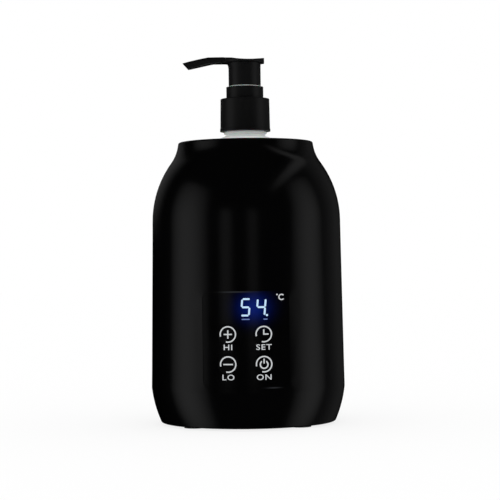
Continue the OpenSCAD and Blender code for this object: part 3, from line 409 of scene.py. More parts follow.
def moulded(name, colour, roughness, grain=900, depth=0.02, drift=0.12):
    """A moulded plastic with slight drifts in its colour and gloss and a fine skin."""
    finish = Finish(name)
    cloud = finish.noise(scale=45)
    skin = finish.noise(grain, detail=2)
    return finish.principled(
        base_color=finish.drift(cloud, colour, 1 - drift, 1 + drift),
        roughness=roughness - 0.03 + 0.06 * cloud + 0.02 * skin,
        normal=finish.bump(skin, depth, distance=0.0004))


def gloss_black(name):
    """Polished black plastic: almost no skin, faint haze where it has been wiped."""
    look = bpy.context.scene.warmer_housing
    finish = Finish(name)
    haze = finish.noise(scale=30, detail=4, stretch=(1, 1, 0.35))
    speck = finish.noise(scale=2600, detail=1)
    return finish.principled(
        base_color=finish.drift(haze, look.gloss_colour, low=0.8, high=1.25),
        roughness=look.gloss_roughness - 0.02 + 0.05 * haze + 0.02 * speck,
        normal=finish.bump(haze, strength=0.012, distance=0.001))


def panel_glass(name):
    """Dark clear panel over the display, with the digits' light in it and a painted highlight, a grey glow,
    on two edges.
    """
    look = bpy.context.scene.warmer_panel
    finish = Finish(name)
    haze = finish.noise(scale=60, detail=4)
    x, _, z = finish.axes()

    def spot(at_x, at_z, half_width, half_height):
        """Light that fades out all round a point."""
        across, upward = (x - at_x) / half_width, (z - at_z) / half_height
        return math.e ** (0 - (across * across + upward * upward))

    glow = spot(look.digit_x, PANEL_Z + look.digit_rise, look.glow_width, look.glow_height)
    # Painted highlight: a grey glow along the upper and lower edges that stands in for light caught by the
    # edge
    tall = look.painted_highlight_height
    painted_highlight = (spot(UPPER_PAINTED_HIGHLIGHT_X, PANEL_HIGH.z - tall / 2, UPPER_PAINTED_HIGHLIGHT_HALF, tall)
             + spot(LOWER_PAINTED_HIGHLIGHT_X, PANEL_LOW.z + tall / 2, LOWER_PAINTED_HIGHLIGHT_HALF, tall))
    lit = finish.blend(glow, (0, 0, 0), look.glow_colour)
    return finish.principled(
        base_color=finish.blend(haze, *GLASS_TONES),
        roughness=0.11 + 0.05 * haze,
        emission_color=finish.blend(painted_highlight, lit, look.painted_highlight_colour),
        emission_strength=1.0,
        normal=finish.bump(haze, strength=0.01, distance=0.001))


def printed_ink(name):
    """White screen print with a slightly uneven cover."""
    look = bpy.context.scene.warmer_panel
    finish = Finish(name)
    cover = finish.noise(scale=1500, detail=2)
    return finish.principled(
        base_color=finish.drift(cover, look.ink_colour, low=0.9, high=1.08),
        roughness=0.5 + 0.12 * cover)


def lit_bar(name, colour):
    """A lit bar of the display, slightly uneven."""
    finish = Finish(name)
    flicker = finish.noise(scale=420, detail=1)
    return finish.principled(
        base_color=finish.blend(flicker, *LAMP_TONES),
        roughness=0.3 + 0.1 * flicker,
        emission_color=finish.drift(flicker, colour, low=0.85),
        emission_strength=1.0)


def metal(name, colour, roughness, stretch):
    """A metal with fine tool lines along one direction."""
    finish = Finish(name)
    lines = finish.noise(scale=400, stretch=stretch)
    return finish.principled(
        base_color=finish.drift(lines, colour, low=0.88, high=1.04),
        metallic=1.0,
        roughness=roughness + 0.16 * lines,
        normal=finish.bump(lines, strength=0.08, distance=0.0003))


def milky(name, colour, roughness):
    """A natural, slightly see-through plastic that scatters light."""
    finish = Finish(name)
    cloud = finish.noise(scale=70)
    skin = finish.noise(scale=700, detail=2)
    return finish.principled(
        base_color=finish.drift(cloud, colour, low=0.93),
        roughness=roughness + 0.1 * cloud,
        subsurface_weight=0.25,
        subsurface_scale=0.004,
        normal=finish.bump(skin, strength=0.02, distance=0.0004))


def circuit(name, mask_colour, track_colour):
    """A circuit board: lacquer over tracks that run across it."""
    finish = Finish(name)
    tracks = finish.node("ShaderNodeTexBrick", {"offset": 0.35}, {
        "Vector": finish.place, "Scale": 120.0, "Mortar Size": 0.02,
        "Color1": (0, 0, 0, 1), "Color2": (0, 0, 0, 1), "Mortar": (1, 1, 1, 1)}, "Color")
    return finish.principled(
        base_color=finish.blend(tracks, mask_colour, track_colour),
        roughness=0.35 + 0.1 * finish.noise(scale=200))


def finishes():
    """All finishes by the name of the record's slot."""
    pump = bpy.context.scene.warmer_pump
    return {
        "shell_black": gloss_black("polished_shell"),
        "panel_lens": panel_glass("panel_glass"),
        "ring_black": moulded("funnel_ring", (0.008, 0.008, 0.009), 0.34),
        "pump_black": moulded("satin_pump", pump.satin_colour, pump.satin_roughness, 1600, 0.05),
        "natural_plastic": milky("natural_resin", (0.6, 0.6, 0.575), 0.36),
        "bottle_plastic": milky("white_bottle", (0.93, 0.93, 0.92), 0.34),
        "foot_rubber": moulded("rubber", (0.022, 0.022, 0.023), 0.78, 2200, 0.2),
        "silicone_red": moulded("silicone", (0.32, 0.05, 0.03), 0.6, 700, 0.1),
        "cup_aluminium": metal("drawn_aluminium", (0.78, 0.79, 0.80), 0.26, (0.1, 0.1, 8)),
        "steel": metal("plated_steel", (0.62, 0.62, 0.63), 0.25, (3, 3, 3)),
        "moulded_black": moulded("matt_mouldings", (0.016, 0.016, 0.017), 0.5, 1400, 0.12),
        "board_green": circuit("green_board", (0.006, 0.09, 0.03), (0.02, 0.16, 0.06)),
        "board_tan": circuit("tan_board", (0.28, 0.17, 0.06), (0.38, 0.26, 0.11)),
        "relay_blue": moulded("blue_case", (0.015, 0.07, 0.32), 0.4),
        "capacitor_yellow": moulded("yellow_case", (0.55, 0.36, 0.02), 0.38),
        "fuse_glass": metal("fuse_tube", (0.72, 0.75, 0.74), 0.12, (1, 1, 1)),
    }


# Mesh building

def wall_y(x, z, inset):
    """Y of the housing's drafted wall in front of a point, drawn in by an inset."""
    look = bpy.context.scene.warmer_housing
    slope = look.taper / (SHELL_HIGH.z - look.shoulder_drop - SHELL_LOW.z)
    radius = SHELL_HIGH.x - (z - SHELL_LOW.z) * slope - inset * math.hypot(1, slope)
    return -math.sqrt(radius * radius - x * x)


def on_wall(inset):
    """A surface at an inset below the wall."""
    return lambda x, z: wall_y(x, z, inset)


def flat_at(y):
    """A flat surface across Y."""
    return lambda x, z: y


def arc(centre, radius, start, end, count):
    """Points on an arc between two angles in degrees, with both ends."""
    angles = [math.radians(start + (end - start) * i / count) for i in range(count + 1)]
    return [(centre[0] + radius * math.cos(a), centre[1] + radius * math.sin(a)) for a in angles]


def round_outline(x, z, radius, count=72):
    """An outline that grows: a circle."""
    return lambda grow: arc((x, z), radius + grow, 0, 360, count)[:-1]


def panel_outline(width, height, corner, count=10):
    """An outline that grows: the panel's rounded rectangle, with points along its sides."""
    def outline(grow):
        loop = []
        reach_x, reach_z, radius = width / 2 - corner, height / 2 - corner, corner + grow
        for sx, sz, start in ((1, 1, 0), (-1, 1, 90), (-1, -1, 180), (1, -1, 270)):
            loop += arc((sx * reach_x, PANEL_Z + sz * reach_z), radius, start, start + 90, count)
        return divided(loop, PANEL_STEP)
    return outline


def divided(loop, spacing):
    """A loop with its long edges cut to a spacing."""
    points = []
    for (ax, az), (bx, bz) in zip(loop, loop[1:] + loop[:1]):
        steps = max(1, round(math.hypot(bx - ax, bz - az) / spacing))
        points += [(ax + (bx - ax) * i / steps, az + (bz - az) * i / steps) for i in range(steps)]
    return points


def inside(point, loop):
    """Whether a point lies in a loop."""
    x, z = point
    crossings = 0
    for (ax, az), (bx, bz) in zip(loop, loop[1:] + loop[:1]):
        if (az > z) != (bz > z) and x < ax + (z - az) * (bx - ax) / (bz - az):
            crossings += 1
    return crossings % 2 == 1


def cap(mesh, loops, surface, spacing):
    """Fills the first loop, less the others, with triangles on a surface."""
    points, edges = [], []
    for loop in loops:
        first = len(points)
        points += loop
        edges += [(first + i, first + (i + 1) % len(loop)) for i in range(len(loop))]
    if spacing:
        points += grid_points(loops, spacing)
    spots = [Vector(p) for p in points]
    flat, _, triangles, *_ = delaunay_2d_cdt(spots, edges, [], ONLY_INSIDE, SAME_POINT)
    corners = [mesh.verts.new((p.x, surface(p.x, p.y), p.y)) for p in flat]
    for triangle in triangles:
        middle = sum((flat[i] for i in triangle), Vector((0, 0))) / len(triangle)
        if not any(inside(middle, hole) for hole in loops[1:]):
            mesh.faces.new([corners[i] for i in triangle])


def grid_points(loops, spacing):
    """Points of a grid in the first loop that keep clear of all loops."""
    xs, zs = [p[0] for p in loops[0]], [p[1] for p in loops[0]]
    rim = [p for loop in loops for p in loop]
    kept = []
    for i in range(1, int((max(xs) - min(xs)) / spacing) + 1):
        for j in range(1, int((max(zs) - min(zs)) / spacing) + 1):
            spot = (min(xs) + i * spacing, min(zs) + j * spacing)
            if not inside(spot, loops[0]) or any(inside(spot, hole) for hole in loops[1:]):
                continue
            if min((p[0] - spot[0]) ** 2 + (p[1] - spot[1]) ** 2 for p in rim) > (spacing / 2) ** 2:
                kept.append(spot)
    return kept


def plate(mesh, outline, holes, front, back, edge=0.0, spacing=0.0):
    """Adds a closed plate with softened front edges between two surfaces."""
    def drawn_in(inward):
        return [outline(-inward)] + [hole(inward) for hole in holes]

    face, soft, rim = drawn_in(edge), drawn_in(EDGE_DIP * edge), drawn_in(0)
    cap(mesh, face, front, spacing)
    cap(mesh, rim, back, spacing)
    for face_loop, soft_loop, rim_loop in zip(face, soft, rim):
        rows = [[(x, front(x, z), z) for x, z in face_loop]]
        if edge:
            rows.append([(x, front(x, z) + EDGE_DIP * edge, z) for x, z in soft_loop])
            rows.append([(x, front(x, z) + edge, z) for x, z in rim_loop])
        rows.append([(x, back(x, z), z) for x, z in rim_loop])
        bridge(mesh, [[mesh.verts.new(p) for p in row] for row in rows])


def bridge(mesh, rings):
    """Joins rings with the same number of points, each to the next, with faces."""
    for ring, following in zip(rings, rings[1:]):
        for i in range(len(ring)):
            j = (i + 1) % len(ring)
            mesh.faces.new((ring[i], ring[j], following[j], following[i]))


def turned(mesh, profile_at, steps=128):
    """Adds a closed ring about Z from the closed profile of radius and height that each angle has."""
    rings = []
    for k in range(steps):
        a = 2 * math.pi * k / steps
        rings.append([mesh.verts.new((r * math.cos(a), r * math.sin(a), z)) for r, z in profile_at(a)])
    bridge(mesh, rings + rings[:1])


def linked(name, data):
    """A new object in the scene."""
    made = bpy.data.objects.new(name, data)
    bpy.context.scene.collection.objects.link(made)
    return made


def plain_mesh(maker):
    """The evaluated mesh of a helper object, which is cleared of modifiers and removed."""
    depsgraph = bpy.context.evaluated_depsgraph_get()
    data = bpy.data.meshes.new_from_object(maker.evaluated_get(depsgraph))
    maker.modifiers.clear()
    bpy.data.objects.remove(maker)
    return data


def piece(name, mesh, material, body, nodes=(), crease=CREASE):
    """Makes an object of a bmesh: welded, facing outwards, smooth between its creases, riding on a body."""
    bmesh.ops.remove_doubles(mesh, verts=mesh.verts, dist=WELD)
    bmesh.ops.recalc_face_normals(mesh, faces=mesh.faces)
    data = bpy.data.meshes.new(name)
    mesh.to_mesh(data)
    mesh.free()
    placed(name, data, material, body, nodes, crease)


def placed(name, data, material, body, nodes=(), crease=CREASE):
    """Makes an object of a mesh with its material, riding on a body and standing for its nodes."""
    data.name = name
    data.materials.clear()
    data.materials.append(material)
    for polygon in data.polygons:
        polygon.use_smooth = True
    data.set_sharp_from_angle(angle=math.radians(crease))
    made = linked(name, data)
    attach(made, body)
    if nodes:
        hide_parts(*nodes)


def bent_on_wall(data, x, z, inset):
    """Lays a flat mesh, drawn in X and Y with its thickness along Z, on the wall about a point."""
    for vertex in data.vertices:
        flat = vertex.co.copy()
        at_x, at_z = x + flat.x, z + flat.y
        vertex.co = (at_x, wall_y(at_x, at_z, inset) - flat.z, at_z)


# Geometry Nodes

class Tree:
    """A Geometry Nodes tree with named sizes and a material, evaluated to a plain mesh."""

    def __init__(self, name, sizes):
        self.tree = bpy.data.node_groups.new(name, "GeometryNodeTree")
        face = self.tree.interface
        face.new_socket("Geometry", in_out="INPUT", socket_type="NodeSocketGeometry")
        kinds = {word: "NodeSocketFloat" for word in sizes} | {"Material": "NodeSocketMaterial"}
        self.sockets = {word: face.new_socket(word, in_out="INPUT", socket_type=kind)
                        for word, kind in kinds.items()}
        face.new_socket("Geometry", in_out="OUTPUT", socket_type="NodeSocketGeometry")
        self.start = self.tree.nodes.new("NodeGroupInput")
        self.end = self.tree.nodes.new("NodeGroupOutput")

    def given(self, word):
        """The output of one named input."""
        return self.start.outputs[word]

    def node(self, kind, settings, inputs):
        """Adds a node and returns its first output."""
        return add_node(self.tree, kind, settings, inputs).outputs[0]

    def finish(self, geometry):
        """Ends the tree in realised geometry with the given material."""
        real = self.node("GeometryNodeRealizeInstances", {}, {0: geometry})
        dressed = self.node("GeometryNodeSetMaterial", {}, {
            "Geometry": real, "Material": self.given("Material")})
        self.tree.links.new(dressed, self.end.inputs[0])

    def evaluate(self, name, seed_mesh, values):
        """Runs the tree on a mesh with these values and returns the plain mesh that it makes."""
        carrier = linked(name + ".carrier", seed_mesh)
        modifier = carrier.modifiers.new(name, "NODES")
        modifier.node_group = self.tree
        for word, value in values.items():
            modifier[self.sockets[word].identifier] = value
        return plain_mesh(carrier)


def broken_ring_tree():
    """A printed ring with a gap: an arc swept with a flat section."""
    tree = Tree("broken_ring", ["Radius", "Stroke", "Ink", "Start", "Sweep"])
    path = tree.node("GeometryNodeCurveArc", {"mode": "RADIUS"}, {
        "Resolution": 96, "Radius": tree.given("Radius"), "Start Angle": tree.given("Start"),
        "Sweep Angle": tree.given("Sweep")})
    section = tree.node("GeometryNodeCurvePrimitiveQuadrilateral", {"mode": "RECTANGLE"}, {
        "Width": tree.given("Stroke"), "Height": tree.given("Ink")})
    tree.finish(tree.node("GeometryNodeCurveToMesh", {}, {
        "Curve": path, "Profile Curve": section, "Fill Caps": True}))
    return tree


def bars_tree():
    """Bars with round ends, one on each point, turned and stretched by the points' own values."""
    tree = Tree("bars", ["Length", "Stroke", "Ink"])
    turned_by, reach = [
        tree.node("GeometryNodeInputNamedAttribute", {"data_type": "FLOAT"}, {"Name": word})
        for word in ("turn", "reach")]
    half = tree.node("ShaderNodeMath", {"operation": "MULTIPLY"}, {0: tree.given("Stroke"), 1: BAR_ROUND})
    box = tree.node("GeometryNodeCurvePrimitiveQuadrilateral", {"mode": "RECTANGLE"}, {
        "Width": tree.given("Length"), "Height": tree.given("Stroke")})
    soft = tree.node("GeometryNodeFilletCurve", {"mode": "POLY"}, {
        "Curve": box, "Count": 8, "Radius": half})
    even = tree.node("GeometryNodeResampleCurve", {"mode": "LENGTH"}, {"Curve": soft, "Length": BAR_STEP})
    flat = tree.node("GeometryNodeFillCurve", {"mode": "TRIANGLES"}, {"Curve": even})
    top = tree.node("GeometryNodeExtrudeMesh", {"mode": "FACES"}, {
        "Mesh": flat, "Offset Scale": tree.given("Ink"), "Individual": False})
    under = tree.node("GeometryNodeFlipFaces", {}, {"Mesh": flat})
    both = tree.node("GeometryNodeJoinGeometry", {}, {0: [top, under]})
    bar = tree.node("GeometryNodeMergeByDistance", {}, {"Geometry": both, "Distance": WELD})
    spin = tree.node("ShaderNodeCombineXYZ", {}, {"Z": turned_by})
    size = tree.node("ShaderNodeCombineXYZ", {}, {"X": reach, "Y": 1.0, "Z": 1.0})
    tree.finish(tree.node("GeometryNodeInstanceOnPoints", {}, {
        "Points": tree.given("Geometry"), "Instance": bar, "Rotation": spin, "Scale": size}))
    return tree


# Prints and pump head

def key_centre(node):
    """X and Z of a key's middle."""
    low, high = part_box(node)
    return (low.x + high.x) / 2, (low.z + high.z) / 2


def print_loops(name, loops, body, ink, look):
    """Prints closed outlines on the panel as thin ink."""
    mesh = bmesh.new()
    for loop in loops:
        fine = divided(loop, PRINT_STEP)
        plate(mesh, lambda grow, fine=fine: fine, [],
              on_wall(look.inset - look.ink), on_wall(look.inset + look.ink))
    piece(name, mesh, ink, body)


def legend(name, word, x, z, look, ink):
    """Prints a short legend, centred on a point of the panel."""
    text = bpy.data.curves.new(name, "FONT")
    text.body = word
    text.align_x, text.align_y = "CENTER", "CENTER"
    text.size = look.letter_height / CAPITAL_SHARE
    text.extrude = look.ink
    text.offset = LETTER_FATTER
    text.space_character = LETTER_SPACE
    text.resolution_u = 4
    data = plain_mesh(linked(name, text))
    data.transform(Matrix.Diagonal((look.letter_stretch, 1, 1, 1)))
    bent_on_wall(data, x, z, look.inset)
    placed(name, data, ink, "warmer")


def head_section(x, sides, look):
    """One section of the pump head across X, in millimetres along X, as points in metres."""
    def past(limit):
        return max(0.0, -x - limit)

    pad = look.pad_radius / MM
    saddle, drop = look.saddle_depth / MM, look.pad_drop / MM
    bend = past(BEND_START)
    if x > SADDLE_END:
        upper = -drop - saddle * (1 - ((x - SADDLE_MIDDLE) / SADDLE_HALF) ** 2)
    else:
        upper = -drop * max(0.0, (x - RISE_END) / (SADDLE_END - RISE_END))
        upper -= BEND_SLOPE * bend + BEND_CURVE * bend ** 2
    lower = -look.head_thickness / MM - UNDER_SLOPE * past(UNDER_START)
    pad_half = math.sqrt(pad * pad - x * x) if x > -pad else 0.0
    spout_half = look.spout_half / MM - NARROW_SLOPE * past(NARROW_START)
    joined = (pad_half ** JOIN_POWER + spout_half ** JOIN_POWER) ** (1 / JOIN_POWER)
    half = pad_half if x > 0 else joined
    middle, tall = (upper + lower) / 2, (upper - lower) / 2
    lean = TIP_LEAN * min(1, bend / TIP_RUN)
    points = []
    for j in range(sides):
        a = 2 * math.pi * j / sides
        up = tall * math.copysign(abs(math.sin(a)) ** SECTION_POWER, math.sin(a))
        wide = half * math.copysign(abs(math.cos(a)) ** SECTION_POWER, math.cos(a))
        points.append(Vector((x - lean * up, wide, middle + up)) * MM + Vector((0, 0, HEAD_TOP)))
    return points


# Light cards

def seen_at(azimuth, height):
    """A card's place, by degrees round the warmer from the front and degrees above its shoulder."""
    a, e = math.radians(azimuth), math.radians(height)
    direction = Vector((math.sin(a) * math.cos(e), -math.cos(a) * math.cos(e), math.sin(e)))
    return direction * CARD_DISTANCE + SHOULDER


def light_bar(name, strength, start, end, width):
    """A long soft bar past two places round the warmer, given by azimuth and height in degrees."""
    first, last = seen_at(*start), seen_at(*end)
    along = LONG_BAR_HALF * (last - first)
    middle = first + LONG_BAR_MIDDLE * (last - first)
    facing = (SHOULDER - middle).normalized()
    across = facing.cross(along).normalized() * width / 2
    place = Matrix((along, across, facing)).transposed().to_4x4()
    place.translation = middle
    soft_card(name, place, strength)


def light_card(name, strength, azimuth, width, span):
    """An upright card between two heights; azimuth 0 is the front."""
    a = math.radians(azimuth)
    low, high = span
    place = (math.sin(a) * CARD_DISTANCE, -math.cos(a) * CARD_DISTANCE, (low + high) / 2)
    upright = Matrix.Rotation(a, 4, "Z") @ Matrix.Rotation(math.pi / 2, 4, "X")
    size = Matrix.Diagonal((width / 2, (high - low) / 2, 1, 1))
    soft_card(name, Matrix.Translation(place) @ upright @ size, strength)


def soft_card(name, place, strength):
    """A soft-edged glowing card that only shows in reflections."""
    finish = Finish(name)
    across, upward, _ = finish.axes()
    sides = (1 - across * across).at_least(0.0) ** SIDE_FADE
    ends = (1 - upward * upward).at_least(0.0) ** END_FADE
    glow = finish.principled(
        base_color=(0, 0, 0), specular_ior_level=0.0,
        emission_color=finish.blend(sides * ends, (0, 0, 0), (1, 1, 1)), emission_strength=strength)
    data = bpy.data.meshes.new(name)
    data.from_pydata([(-1, -1, 0), (1, -1, 0), (1, 1, 0), (-1, 1, 0)], [], [(0, 1, 2, 3)])
    data.materials.append(glow)
    card = linked(name, data)
    card.matrix_world = place
    for kind in ("visible_camera", "visible_diffuse", "visible_transmission", "visible_shadow",
                 "visible_volume_scatter"):
        setattr(card, kind, False)


# Operators

class WARMER_OT_finishes(bpy.types.Operator):
    """Gives every carried-over node its finish"""

    bl_idname = "warmer.finishes"
    bl_label = "Finishes"

    def execute(self, context):
        FINISHES.update(finishes())
        FINISHES["key_black"] = FINISHES["panel_lens"]
        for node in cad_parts.values():
            for slot in node.material_slots:
                slot.material = FINISHES[slot.material.name]
        return {"FINISHED"}


class WARMER_OT_panel(bpy.types.Operator):
    """Builds the curved panel with its four key openings"""

    bl_idname = "warmer.panel"
    bl_label = "Panel"

    def execute(self, context):
        look = context.scene.warmer_panel
        size = PANEL_HIGH - PANEL_LOW
        mesh = bmesh.new()
        holes = [round_outline(*key_centre(node), look.key_radius + look.key_gap) for node in KEY_BODIES]
        plate(mesh, panel_outline(size.x, size.z, look.corner), holes, on_wall(look.inset),
              on_wall(look.inset + look.thickness), look.edge, PANEL_STEP)
        piece("panel_face", mesh, FINISHES["panel_lens"], "warmer",
              ["control_panel"], FLAT_CREASE)
        return {"FINISHED"}


class WARMER_OT_keys(bpy.types.Operator):
    """Builds the four keys, flush with the panel, with their flanges"""

    bl_idname = "warmer.keys"
    bl_label = "Keys"

    def execute(self, context):
        look = context.scene.warmer_panel
        for node, body in KEY_BODIES.items():
            x, z = key_centre(node)
            back = flat_at(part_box(node)[1].y)
            mesh = bmesh.new()
            plate(mesh, round_outline(x, z, look.key_radius), [], on_wall(look.inset), back,
                  look.edge, KEY_STEP)
            plate(mesh, round_outline(x, z, look.flange_radius), [], on_wall(look.flange_depth), back)
            piece(node + "_cap", mesh, FINISHES["panel_lens"], body, [node], FLAT_CREASE)
        return {"FINISHED"}


class WARMER_OT_prints(bpy.types.Operator):
    """Prints the icons on the keys and the legends on the panel"""

    bl_idname = "warmer.prints"
    bl_label = "Prints"

    def execute(self, context):
        look = context.scene.warmer_panel
        ink = printed_ink("printed_ink")
        ring = broken_ring_tree()
        for node, body in KEY_BODIES.items():
            x, z = key_centre(node)
            data = ring.evaluate(node + "_ring", bpy.data.meshes.new("ring_seed"), {
                "Radius": look.ring_radius, "Stroke": look.stroke, "Ink": 2 * look.ink,
                "Start": look.ring_gap_start + look.ring_gap_sweep,
                "Sweep": 2 * math.pi - look.ring_gap_sweep, "Material": ink})
            bent_on_wall(data, x, z, look.inset)
            placed(node + "_ring", data, ink, body)
            self.glyph(node, body, x, z, ink, look)
        for node, word in LEGENDS.items():
            x, z = key_centre(node)
            legend(node + "_legend", word, x, z - look.key_radius - look.letter_drop, look, ink)
        self.degree(ink, look)
        return {"FINISHED"}

    def glyph(self, node, body, x, z, ink, look):
        """Prints the sign inside a key's ring."""
        half = look.stroke / 2
        arm, wide = CROSS_ARM, BAR_ARM
        start, end = ON_RING_ENDS
        bar = [(-wide, -half), (wide, -half), (wide, half), (-wide, half)]
        cross = [(-arm, -half), (-half, -half), (-half, -arm), (half, -arm), (half, -half), (arm, -half),
                 (arm, half), (half, half), (half, arm), (-half, arm), (-half, half), (-arm, half)]
        hands = [(-half, wide), (-half, -half), (wide, -half), (wide, half), (half, half), (half, wide)]
        power = (arc(ON_RING_MIDDLE, ON_RING_OUT, start, end, count=40)
                 + arc(ON_RING_MIDDLE, ON_RING_IN, end, start, count=40))
        stem = [(-half, ON_STEM_LOW), (half, ON_STEM_LOW), (half, ON_STEM_HIGH), (-half, ON_STEM_HIGH)]
        signs = {"key_up": [cross], "key_down": [bar], "key_timer": [hands], "key_start": [power, stem]}
        loops = [[(x + px, z + pz) for px, pz in loop] for loop in signs[node]]
        print_loops(node + "_sign", loops, body, ink, look)

    def degree(self, ink, look):
        """Prints the degree sign and the C beside the display."""
        z = PANEL_Z + look.digit_rise
        middle = (C_MIDDLE[0], z + C_MIDDLE[1])
        start, end = C_ENDS
        letter = arc(middle, C_OUT, start, end, count=36) + arc(middle, C_IN, end, start, count=36)
        dot = arc((DOT_MIDDLE[0], z + DOT_MIDDLE[1]), DOT_RADIUS, 0, 360, count=24)[:-1]
        print_loops("degree_print", [letter, dot], "warmer", ink, look)


class WARMER_OT_display(bpy.types.Operator):
    """Lights the bars of the two digits"""

    bl_idname = "warmer.display"
    bl_label = "Display"

    def execute(self, context):
        look = context.scene.warmer_panel
        lit, dim = lit_bar("lit_bar", look.lit_colour), lit_bar("dim_bar", look.dim_colour)
        tree = bars_tree()
        w, h = look.digit_width, look.digit_height
        bars = {"top": (0, h / 2, False), "middle": (0, 0, False), "bottom": (0, -h / 2, False),
                "upper_left": (-w / 2, h / 4, True), "upper_right": (w / 2, h / 4, True),
                "lower_right": (w / 2, -h / 4, True)}
        five = ["top", "upper_left", "middle", "lower_right", "bottom"]
        four = ["upper_left", "upper_right", "middle", "lower_right"]
        lean = math.tan(look.digit_slant)
        spots = []
        for side, words in ((-1, five), (1, four)):
            for word in words:
                bx, bz, upright = bars[word]
                spots.append((side * look.digit_pitch / 2 + bx + bz * lean, bz,
                              math.pi / 2 - look.digit_slant if upright else 0,
                              BAR_FILL * (h / 2 if upright else w) / BAR_LENGTH))
        middle_z = PANEL_Z + look.digit_rise
        self.row(tree, "digits", spots, lit, look.digit_stroke, middle_z, look)
        point = (look.digit_pitch / 2 + w / 2 + POINT_OUT, -h / 2 + POINT_RISE, 0, POINT_STRETCH)
        self.row(tree, "digit_point", [point], lit, POINT_STROKE, middle_z, look)
        dashes = [(-look.digit_pitch / 2, 0, 0, DASH_STRETCH[0]),
                  (look.digit_pitch / 2 + DASH_OUT, 0, 0, DASH_STRETCH[1])]
        self.row(tree, "under_bars", dashes, dim, DASH_STROKE, middle_z - h / 2 - DASH_DROP, look)
        return {"FINISHED"}

    def row(self, tree, name, spots, material, stroke, z, look):
        """Puts bars on points and lays them on the panel."""
        seed = bpy.data.meshes.new(name + "_points")
        seed.from_pydata([(x, y, 0) for x, y, *_ in spots], [], [])
        for word, column in (("turn", 2), ("reach", 3)):
            values = seed.attributes.new(word, "FLOAT", "POINT")
            values.data.foreach_set("value", [spot[column] for spot in spots])
        data = tree.evaluate(name, seed, {
            "Length": BAR_LENGTH, "Stroke": stroke, "Ink": look.ink, "Material": material})
        bent_on_wall(data, look.digit_x, z, look.inset)
        placed(name, data, material, "warmer")


class WARMER_OT_pump_head(bpy.types.Operator):
    """Lofts the pump's thumb pad and spout and turns its skirt"""

    bl_idname = "warmer.pump_head"
    bl_label = "Pump head"

    def execute(self, context):
        look = context.scene.warmer_pump
        mesh = bmesh.new()
        self.loft(mesh, look)
        self.skirt(mesh, look)
        piece("pump_actuator", mesh, FINISHES["pump_black"], "head",
              ["pump_head"], HEAD_CREASE)
        return {"FINISHED"}

    def loft(self, mesh, look, sides=72):
        """The pad and spout as one run of rounded sections, with the outlet sunk into the tip."""
        reach, pad = look.spout_reach / MM, look.pad_radius / MM
        stations = [pad * math.cos(math.radians(angle)) for angle in PAD_ANGLES]
        stations += [-reach * i / SPOUT_STEPS for i in range(SPOUT_STEPS + 1)]
        rings = [[mesh.verts.new(p) for p in head_section(x, sides, look)] for x in stations]
        rim = [v.co.copy() for v in rings[-1]]
        middle = sum(rim, Vector()) / sides
        for part, inward in OUTLET_RINGS:
            shift = middle + Vector((inward, 0, OUTLET_FALL * inward))
            rings.append([mesh.verts.new(shift + (p - middle) * part) for p in rim])
        bridge(mesh, rings)
        mesh.faces.new(rings[0])
        mesh.faces.new(rings[-1])

    def skirt(self, mesh, look):
        """The skirt under the pad, with a web that swells towards the spout."""
        low = HEAD_TOP - look.head_height
        floor = HEAD_TOP - look.head_thickness
        roof = floor + SKIRT_RISE
        out, bore = look.skirt_radius, look.skirt_radius - look.skirt_wall
        soft = SKIRT_ROUND
        quarter = [math.radians(angle) for angle in range(0, 91, 10)]

        def profile_at(angle):
            swell = SWELL_ROUND + look.web_out * max(0.0, -math.cos(angle)) ** SWELL_POWER
            web = [(out + swell * (1 - math.cos(t)), floor - look.web_height * (1 - math.sin(t)))
                   for t in quarter]
            return (arc((out - soft, low + soft), soft, -90, 0, count=4) + web
                    + [(out + swell, roof), (bore, roof), (bore, low + soft), (bore + soft, low)])

        turned(mesh, profile_at)


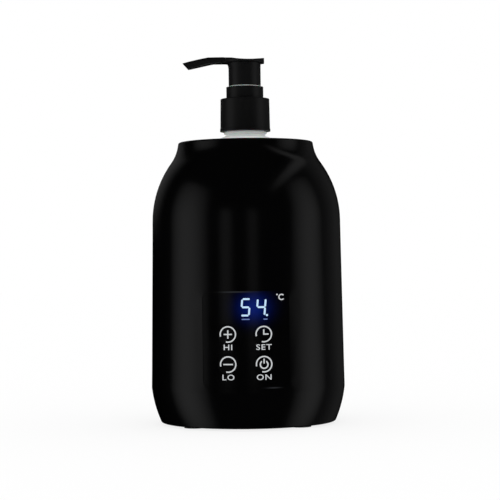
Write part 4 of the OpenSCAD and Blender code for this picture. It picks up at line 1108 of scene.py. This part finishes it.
class WARMER_OT_stage(bpy.types.Operator):
    """Sets the pale floor, the even light, the light cards and the camera"""

    bl_idname = "warmer.stage"
    bl_label = "Stage"

    def execute(self, context):
        look = context.scene.warmer_stage
        self.floor(look)
        self.light(context.scene, look)
        self.camera(context.scene, look)
        return {"FINISHED"}

    def floor(self, look):
        """A round pale floor that is partly lit from below."""
        finish = Finish("floor_paper")
        cloud = finish.noise(scale=6)
        matt = scaled(look.floor_colour, 1 - look.floor_light)
        paper = finish.principled(
            base_color=finish.drift(cloud, matt, low=0.99), roughness=0.9, specular_ior_level=0.0,
            emission_color=look.floor_colour, emission_strength=look.floor_light)
        bpy.ops.mesh.primitive_circle_add(
            vertices=96, radius=FLOOR_RADIUS, fill_type="NGON", location=(0, 0, -FLOOR_DROP))
        floor = bpy.context.object
        floor.name = "floor"
        floor.data.materials.append(paper)
        floor.visible_glossy = False

    def light(self, scene, look):
        """Even light from all round, and cards that show in the gloss."""
        world = bpy.data.worlds.new("studio")
        scene.world = world
        world.use_nodes = True
        sky = world.node_tree.nodes["Background"]
        sky.inputs["Color"].default_value = (1, 1, 1, 1)
        sky.inputs["Strength"].default_value = look.ambient
        world.cycles_visibility.glossy = False
        scene.view_settings.view_transform = "Standard"
        light_card("left_card", look.left_card, azimuth=-72, width=1.05, span=(-1.1, 0.78))
        light_card("right_card", look.right_card, azimuth=79, width=0.9, span=(-1.1, 0.85))
        light_card("back_card", look.back_card, azimuth=128, width=1.3, span=(-1.0, 1.2))
        edge_light = LEFT_EDGE_SHARE * look.back_card
        light_card("left_edge_card", edge_light, azimuth=-147, width=1.0, span=(0.14, 1.2))
        light_bar("right_bar", look.bar, start=(40, 32), end=(113, 43), width=0.13)
        light_card("front_card_left", look.front_card, azimuth=-23, width=0.34, span=FRONT_SPAN)
        front_light = RIGHT_FRONT_SHARE * look.front_card
        light_card("front_card_right", front_light, azimuth=8, width=0.3, span=FRONT_SPAN)

    def camera(self, scene, look):
        """The camera at the photograph's place."""
        data = bpy.data.cameras.new("camera")
        data.lens = look.lens
        data.sensor_width = FILM_WIDTH_MM
        camera = linked("camera", data)
        x, y = look.distance * math.sin(look.azimuth), -look.distance * math.cos(look.azimuth)
        camera.matrix_world = (
            Matrix.Translation((x, y, look.height)) @ Matrix.Rotation(look.azimuth + look.aim, 4, "Z")
            @ Matrix.Rotation(math.pi / 2 + look.pitch, 4, "X") @ Matrix.Rotation(look.roll, 4, "Z"))
        scene.camera = camera


class WARMER_PT_looks(bpy.types.Panel):
    """Lists the steps that dress the warmer"""

    bl_idname = "WARMER_PT_looks"
    bl_label = "Oil warmer"
    bl_space_type = "VIEW_3D"
    bl_region_type = "UI"
    bl_category = "Warmer"

    def draw(self, context):
        for step in STEPS:
            self.layout.operator(step.bl_idname)


GROUPS = {"warmer_housing": HousingLook, "warmer_panel": PanelLook, "warmer_pump": PumpLook,
          "warmer_stage": StageLook}
STEPS = [WARMER_OT_finishes, WARMER_OT_panel, WARMER_OT_keys, WARMER_OT_prints, WARMER_OT_display,
         WARMER_OT_pump_head, WARMER_OT_stage]


def register():
    """Registers the classes and hangs the properties on the scene."""
    for kind in [*GROUPS.values(), *STEPS, WARMER_PT_looks]:
        bpy.utils.register_class(kind)
    for name, kind in GROUPS.items():
        setattr(bpy.types.Scene, name, bpy.props.PointerProperty(type=kind))


def unregister():
    """Undoes register."""
    for name in GROUPS:
        delattr(bpy.types.Scene, name)
    for kind in [WARMER_PT_looks, *reversed(STEPS), *GROUPS.values()]:
        bpy.utils.unregister_class(kind)


def main():
    """Dresses the warmer step by step."""
    register()
    for step in STEPS:
        group, name = step.bl_idname.split(".")
        getattr(getattr(bpy.ops, group), name)()


if __name__ == "__main__":
    main()
